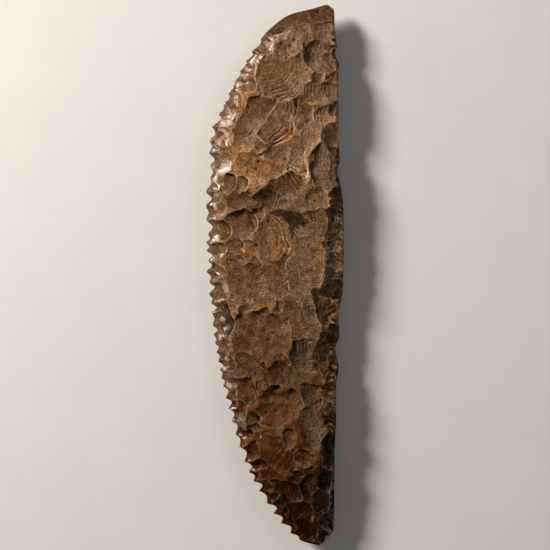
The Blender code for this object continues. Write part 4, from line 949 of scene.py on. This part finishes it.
flintLook = {
    "tan": (0.140, 0.060, 0.020),
    "ochre": (0.178, 0.080, 0.025),
    "umber": (0.062, 0.024, 0.007),
    "grey": (0.185, 0.104, 0.053),
    "redBrown": (0.130, 0.048, 0.010),
    "golden": (0.075, 0.030, 0.007),
    "amber": (1.0, 0.62, 0.10),
    # painted highlights on the arrises and painted shade in the hollows
    "paintedArrisHighlight": (0.42, 0.28, 0.17),
    "paintedPaleArrisHighlight": (0.20, 0.145, 0.098),
    "hollow": (0.010, 0.005, 0.002),
    "speck": (0.020, 0.008, 0.003),
    "paleFleck": (0.34, 0.20, 0.10),
    "worn": (0.155, 0.088, 0.047),
    # pale paint of the polished patches, a painted highlight
    "polishedWithPaintedHighlight": (0.52, 0.38, 0.28),
    # noises: scale, detail and roughness
    "stain": (85, 3, 0.6),
    "cloud": (210, 4, 0.6),
    "mottle": (620, 5, 0.65),
    "grain": (1700, 2, 0.6),
    "fleck": (2500, 2, 0.5),
    "lump": (1100, 2, 0.5),
    # contrasts: where a field is low and high, and what it multiplies the colour by there
    "mottled": (0.3, 0.7, 0.71, 1.29),
    "flecked": (0.3, 0.7, 0.6, 1.4),
    # painted shade in broad hollows and painted light on broad rises
    "paintedShadingContrast": (-0.8, 0.8, 0.86, 1.1),
    "grainy": (0.3, 0.7, 0.76, 1.24),
    # how the colour changes towards its point: from and to, in metres along it, and its values there.
    # The darkening is partly painted shade for the light falling off, the paler arrises are painted
    # highlights, and the thin edge is painted light
    "redder": (-0.044, -0.054, 0, 0.85),
    "tanner": (-0.056, -0.064, 0, 0.6),
    "yellower": (-0.012, -0.030, 0, 0.5),
    "yellowest": (-0.036, -0.052, 0, 0.5),
    "darkerWithPaintedFalloff": (-0.008, -0.030, 1, 0.62),
    "darkestWithPaintedFalloff": (-0.038, -0.066, 1, 0.34),
    "paintedPalerArrises": (-0.042, -0.056, 0, 1.4),
    "paintedThinEdgeLight": (-0.042, -0.052, 0, 1),
    "lessWorn": (-0.030, -0.044, 1, 0.1),
    "smoother": (-0.040, -0.056, 1, 0.65),
    # surface relief in millimetres, under the size of the mesh
    "mottleRelief": 0.17,
    "grainRelief": 0.13,
    "pockDepth": 0.12,
    "coatRoughness": 0.27,
    "specular": 0.1,
}


class Graph:
    # the nodes of one material, fed with sockets, numbers or colours
    def __init__(self, name):
        self.material = bpy.data.materials.new(name)
        self.material.use_nodes = True
        self.tree = self.material.node_tree
        self.shader = self.tree.nodes["Principled BSDF"]

    def feed(self, socket, value):
        if isinstance(value, bpy.types.NodeSocket):
            self.tree.links.new(value, socket)
        elif isinstance(value, tuple):
            socket.default_value = (*value, 1)
        else:
            socket.default_value = value

    def objectPlace(self):
        return self.tree.nodes.new("ShaderNodeTexCoord").outputs["Object"]

    def attribute(self, label):
        node = self.tree.nodes.new("ShaderNodeAttribute")
        node.attribute_name = label
        return node.outputs["Fac"]

    def noise(self, vector, scale, detail, roughness):
        node = self.tree.nodes.new("ShaderNodeTexNoise")
        values = {"Vector": vector, "Scale": scale, "Detail": detail, "Roughness": roughness}
        for label, value in values.items():
            self.feed(node.inputs[label], value)
        return node.outputs["Fac"]

    def ramp(self, value, low, high, start=0.0, finish=1.0):
        node = self.tree.nodes.new("ShaderNodeMapRange")
        node.interpolation_type = "SMOOTHSTEP"
        ends = {"Value": value, "From Min": low, "From Max": high, "To Min": start, "To Max": finish}
        for label, end in ends.items():
            self.feed(node.inputs[label], end)
        return node.outputs["Result"]

    def maths(self, operation, a, b):
        node = self.tree.nodes.new("ShaderNodeMath")
        node.operation = operation
        self.feed(node.inputs[0], a)
        self.feed(node.inputs[1], b)
        return node.outputs[0]

    def plus(self, a, b):
        return self.maths("ADD", a, b)

    def times(self, a, b):
        return self.maths("MULTIPLY", a, b)

    def mix(self, factor, a, b, blend="MIX"):
        node = self.tree.nodes.new("ShaderNodeMix")
        node.data_type = "RGBA"
        node.blend_type = blend
        for place, value in ((0, factor), (6, a), (7, b)):
            self.feed(node.inputs[place], value)
        return node.outputs[2]

    def tint(self, colour, by):
        return self.mix(1.0, colour, by, "MULTIPLY")


def flintMaterial():
    look = flintLook
    g = Graph("patinatedFlint")
    place = g.objectPlace()
    split = g.tree.nodes.new("ShaderNodeSeparateXYZ")
    g.feed(split.inputs[0], place)
    along = split.outputs["Y"]
    stain, cloud, mottle, graininess, fleck, lump = (
        g.noise(place, *look[kind]) for kind in ("stain", "cloud", "mottle", "grain", "fleck", "lump")
    )
    paintedArrisHighlight, hollow, broadPaintedShading, patina, shade, grit, glossAndPaintedHighlight, toothEdge = (
        g.attribute(label)
        for label in ("paintedArrisHighlight", "hollow", "broadPaintedShading", "patina", "shade", "grit", "glossAndPaintedHighlight", "toothEdge")
    )

    greyness = g.plus(patina, g.ramp(cloud, 0.38, 0.62, -0.55, 0.35))
    greyness = g.plus(greyness, g.ramp(mottle, 0.38, 0.62, -0.2, 0.2))
    warm = g.mix(g.ramp(stain, 0.45, 0.65, 0, 0.75), look["tan"], look["ochre"])
    warm = g.mix(g.ramp(cloud, 0.52, 0.72, 0, 0.5), warm, look["umber"])
    # the lower quarter turns red brown, and the colour darkens towards its point: partly the stone's own
    # colour, partly painted shade for the light falling off
    wander = g.plus(along, g.ramp(cloud, 0.3, 0.7, -0.008, 0.008))
    warm = g.mix(g.ramp(wander, *look["redder"]), warm, look["redBrown"])
    warm = g.mix(g.ramp(wander, *look["tanner"]), warm, look["tan"])
    amber = g.plus(g.ramp(wander, *look["yellower"]), g.ramp(wander, *look["yellowest"]))
    amber = g.times(amber, g.ramp(greyness, 0.2, 1, 1, 0.15))
    colour = g.mix(g.ramp(greyness, 0, 1), warm, look["grey"])
    colour = g.mix(g.ramp(patina, 0, -0.6), colour, look["golden"])
    # mottle, flecks and grain vary the tone, and broad hollows and rises get painted shade and painted light
    fields = {"mottled": mottle, "flecked": fleck, "paintedShadingContrast": broadPaintedShading, "grainy": graininess}
    for kind, field in fields.items():
        colour = g.tint(colour, g.ramp(field, *look[kind]))
    # dark specks and pocks and pale flecks, then painted shade in the hollows and painted highlights on the
    # arrises
    gritty = g.ramp(grit, 0, 1, 0.4, 0.9)
    specks = g.times(gritty, g.ramp(graininess, 0.57, 0.69))
    pocks = g.times(gritty, g.ramp(lump, 0.62, 0.72, 0, 0.9))
    paintedCrestHighlights = g.times(g.ramp(paintedArrisHighlight, 0.4, 1.0, 0, 0.5), g.ramp(mottle, 0.35, 0.6, 0.3, 1))
    colour = g.mix(specks, colour, look["speck"])
    colour = g.mix(pocks, colour, look["speck"])
    colour = g.mix(g.ramp(lump, 0.36, 0.26, 0, 0.35), colour, look["paleFleck"])
    # painted shade: creases darkened almost to black
    colour = g.mix(g.ramp(hollow, 0.35, 1.0, 0, 0.7), colour, look["hollow"])
    colour = g.mix(paintedCrestHighlights, colour, look["paintedArrisHighlight"])
    colour = g.tint(colour, g.mix(amber, (1.0, 1.0, 1.0), look["amber"]))
    # painted shade: darker towards the point, partly for the light falling off; each scar's shade is partly
    # its tone and partly painted light and shade
    darkeningAndPaintedFalloff = g.times(g.ramp(wander, *look["darkerWithPaintedFalloff"]), g.ramp(wander, *look["darkestWithPaintedFalloff"]))
    colour = g.tint(colour, g.times(darkeningAndPaintedFalloff, shade))
    # painted highlights keep the arrises of the dark lower end pale
    paintedLowerArrisHighlight = g.times(paintedCrestHighlights, g.ramp(wander, *look["paintedPalerArrises"]))
    paintedLowerArrisHighlight = g.times(paintedLowerArrisHighlight, g.ramp(greyness, 0, 0.8, 0.2, 1))
    colour = g.mix(paintedLowerArrisHighlight, colour, look["paintedPaleArrisHighlight"])
    # painted light: the thin edge near the point is lightened as though light came through it
    paintedThinEdgeGlow = g.times(toothEdge, g.ramp(wander, *look["paintedThinEdgeLight"]))
    colour = g.tint(colour, g.ramp(paintedThinEdgeGlow, 0.1, 0.9, 1, 1.6))
    # the cutting edge is worn lighter and glossy by use, and its glossy patches are painted pale as
    # highlights
    rubbed = g.times(toothEdge, g.ramp(mottle, 0.35, 0.6, 0.25, 1))
    rubbed = g.times(rubbed, g.ramp(wander, *look["lessWorn"]))
    colour = g.mix(g.ramp(rubbed, 0.2, 0.8, 0, 0.5), colour, look["worn"])
    polishAndPaintedHighlight = g.times(glossAndPaintedHighlight, g.ramp(mottle, 0.3, 0.55, 0.3, 1))
    colour = g.mix(g.ramp(polishAndPaintedHighlight, 0.15, 0.8, 0, 0.85), colour, look["polishedWithPaintedHighlight"])
    rubbed = g.maths("MAXIMUM", rubbed, polishAndPaintedHighlight)
    g.feed(g.shader.inputs["Base Color"], colour)

    rough = g.plus(g.ramp(graininess, 0.3, 0.7, 0.46, 0.66), g.times(rubbed, -0.3))
    g.feed(g.shader.inputs["Roughness"], g.times(rough, g.ramp(wander, *look["smoother"])))
    g.feed(g.shader.inputs["Coat Weight"], g.ramp(rubbed, 0.15, 0.7))
    g.feed(g.shader.inputs["Coat Roughness"], look["coatRoughness"])
    g.feed(g.shader.inputs["Specular IOR Level"], look["specular"])

    fineRelief = g.times(g.times(g.plus(graininess, fleck), look["grainRelief"]), gritty)
    relief = g.plus(g.times(mottle, look["mottleRelief"]), fineRelief)
    relief = g.maths("SUBTRACT", relief, g.times(pocks, look["pockDepth"]))
    bump = g.tree.nodes.new("ShaderNodeBump")
    g.feed(bump.inputs["Strength"], 1.0)
    g.feed(bump.inputs["Distance"], mm)
    g.feed(bump.inputs["Height"], relief)
    g.feed(g.shader.inputs["Normal"], bump.outputs["Normal"])
    return g.material


floorLook = {
    "half": 0.6,
    "drop": 0.0001,  # how far it lies under the blade
    "paint": (0.72, 0.70, 0.67),
    "patches": (60, 3, 0.6),
    "patchShades": (0.96, 1.0),
    "roughness": 0.8,
}


def buildFloor():
    bpy.ops.object.select_all(action="DESELECT")
    bpy.ops.mesh.primitive_plane_add(size=2 * floorLook["half"], location=(0, 0, -floorLook["drop"]))
    floor = bpy.context.active_object
    floor.name = "paleFloor"
    bpy.ops.object.transform_apply(location=True)
    g = Graph("paleFloorPaint")
    shade = g.ramp(g.noise(g.objectPlace(), *floorLook["patches"]), 0.2, 0.8, *floorLook["patchShades"])
    g.feed(g.shader.inputs["Base Color"], g.tint(floorLook["paint"], shade))
    g.feed(g.shader.inputs["Roughness"], floorLook["roughness"])
    floor.data.materials.append(g.material)


studio = {
    "viewHeight": 0.1522,  # what the frame takes in at the height of the blade
    "bladeHeight": 0.008,
    "cameraRise": 1.1,
    "sensor": 36,
    "keyLight": {
        "place": (-0.54, 0.37, 0.34),
        "aim": (0, 0.02, 0),
        "power": 9.3,
        "size": 0.18,
        "colour": (1.0, 0.96, 0.90),
    },
    "fillLight": {
        "place": (0.55, 0.35, 0.5),
        "aim": (0, 0, 0),
        "power": 1.0,
        "size": 0.5,
        "colour": (1.0, 1.0, 1.0),
    },
    "worldColour": (1, 0.95, 0.9, 1),
    "worldPower": 0.085,
}


def addAreaLight(name):
    look = studio[name]
    bpy.ops.object.light_add(type="AREA", location=look["place"])
    light = bpy.context.active_object
    light.name = name
    light.data.energy = look["power"]
    light.data.size = look["size"]
    light.data.color = look["colour"]
    away = [p - t for p, t in zip(look["place"], look["aim"])]
    flat = math.hypot(away[0], away[1])
    light.rotation_euler = (math.atan2(flat, away[2]), 0, math.atan2(away[0], -away[1]))


def buildLightsAndCamera():
    addAreaLight("keyLight")
    addAreaLight("fillLight")
    world = bpy.data.worlds.new("studioWorld")
    world.use_nodes = True
    background = world.node_tree.nodes["Background"]
    background.inputs["Color"].default_value = studio["worldColour"]
    background.inputs["Strength"].default_value = studio["worldPower"]
    bpy.context.scene.world = world
    bpy.ops.object.camera_add(location=(0, 0, studio["cameraRise"]), rotation=(0, 0, 0))
    camera = bpy.context.active_object
    camera.name = "overheadCamera"
    camera.data.sensor_width = studio["sensor"]
    distance = studio["cameraRise"] - studio["bladeHeight"]
    camera.data.lens = studio["sensor"] * distance / studio["viewHeight"]
    camera.data.clip_end = 10
    bpy.context.scene.camera = camera
    bpy.context.scene.view_settings.view_transform = "Standard"


blade = buildBlade()
blade.data.materials.clear()
blade.data.materials.append(flintMaterial())
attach(blade, "root")
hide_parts("saw_blade")
print("blade shaped:", len(blade.data.polygons), "faces")
buildFloor()
buildLightsAndCamera()
print("floor, lights and camera placed")
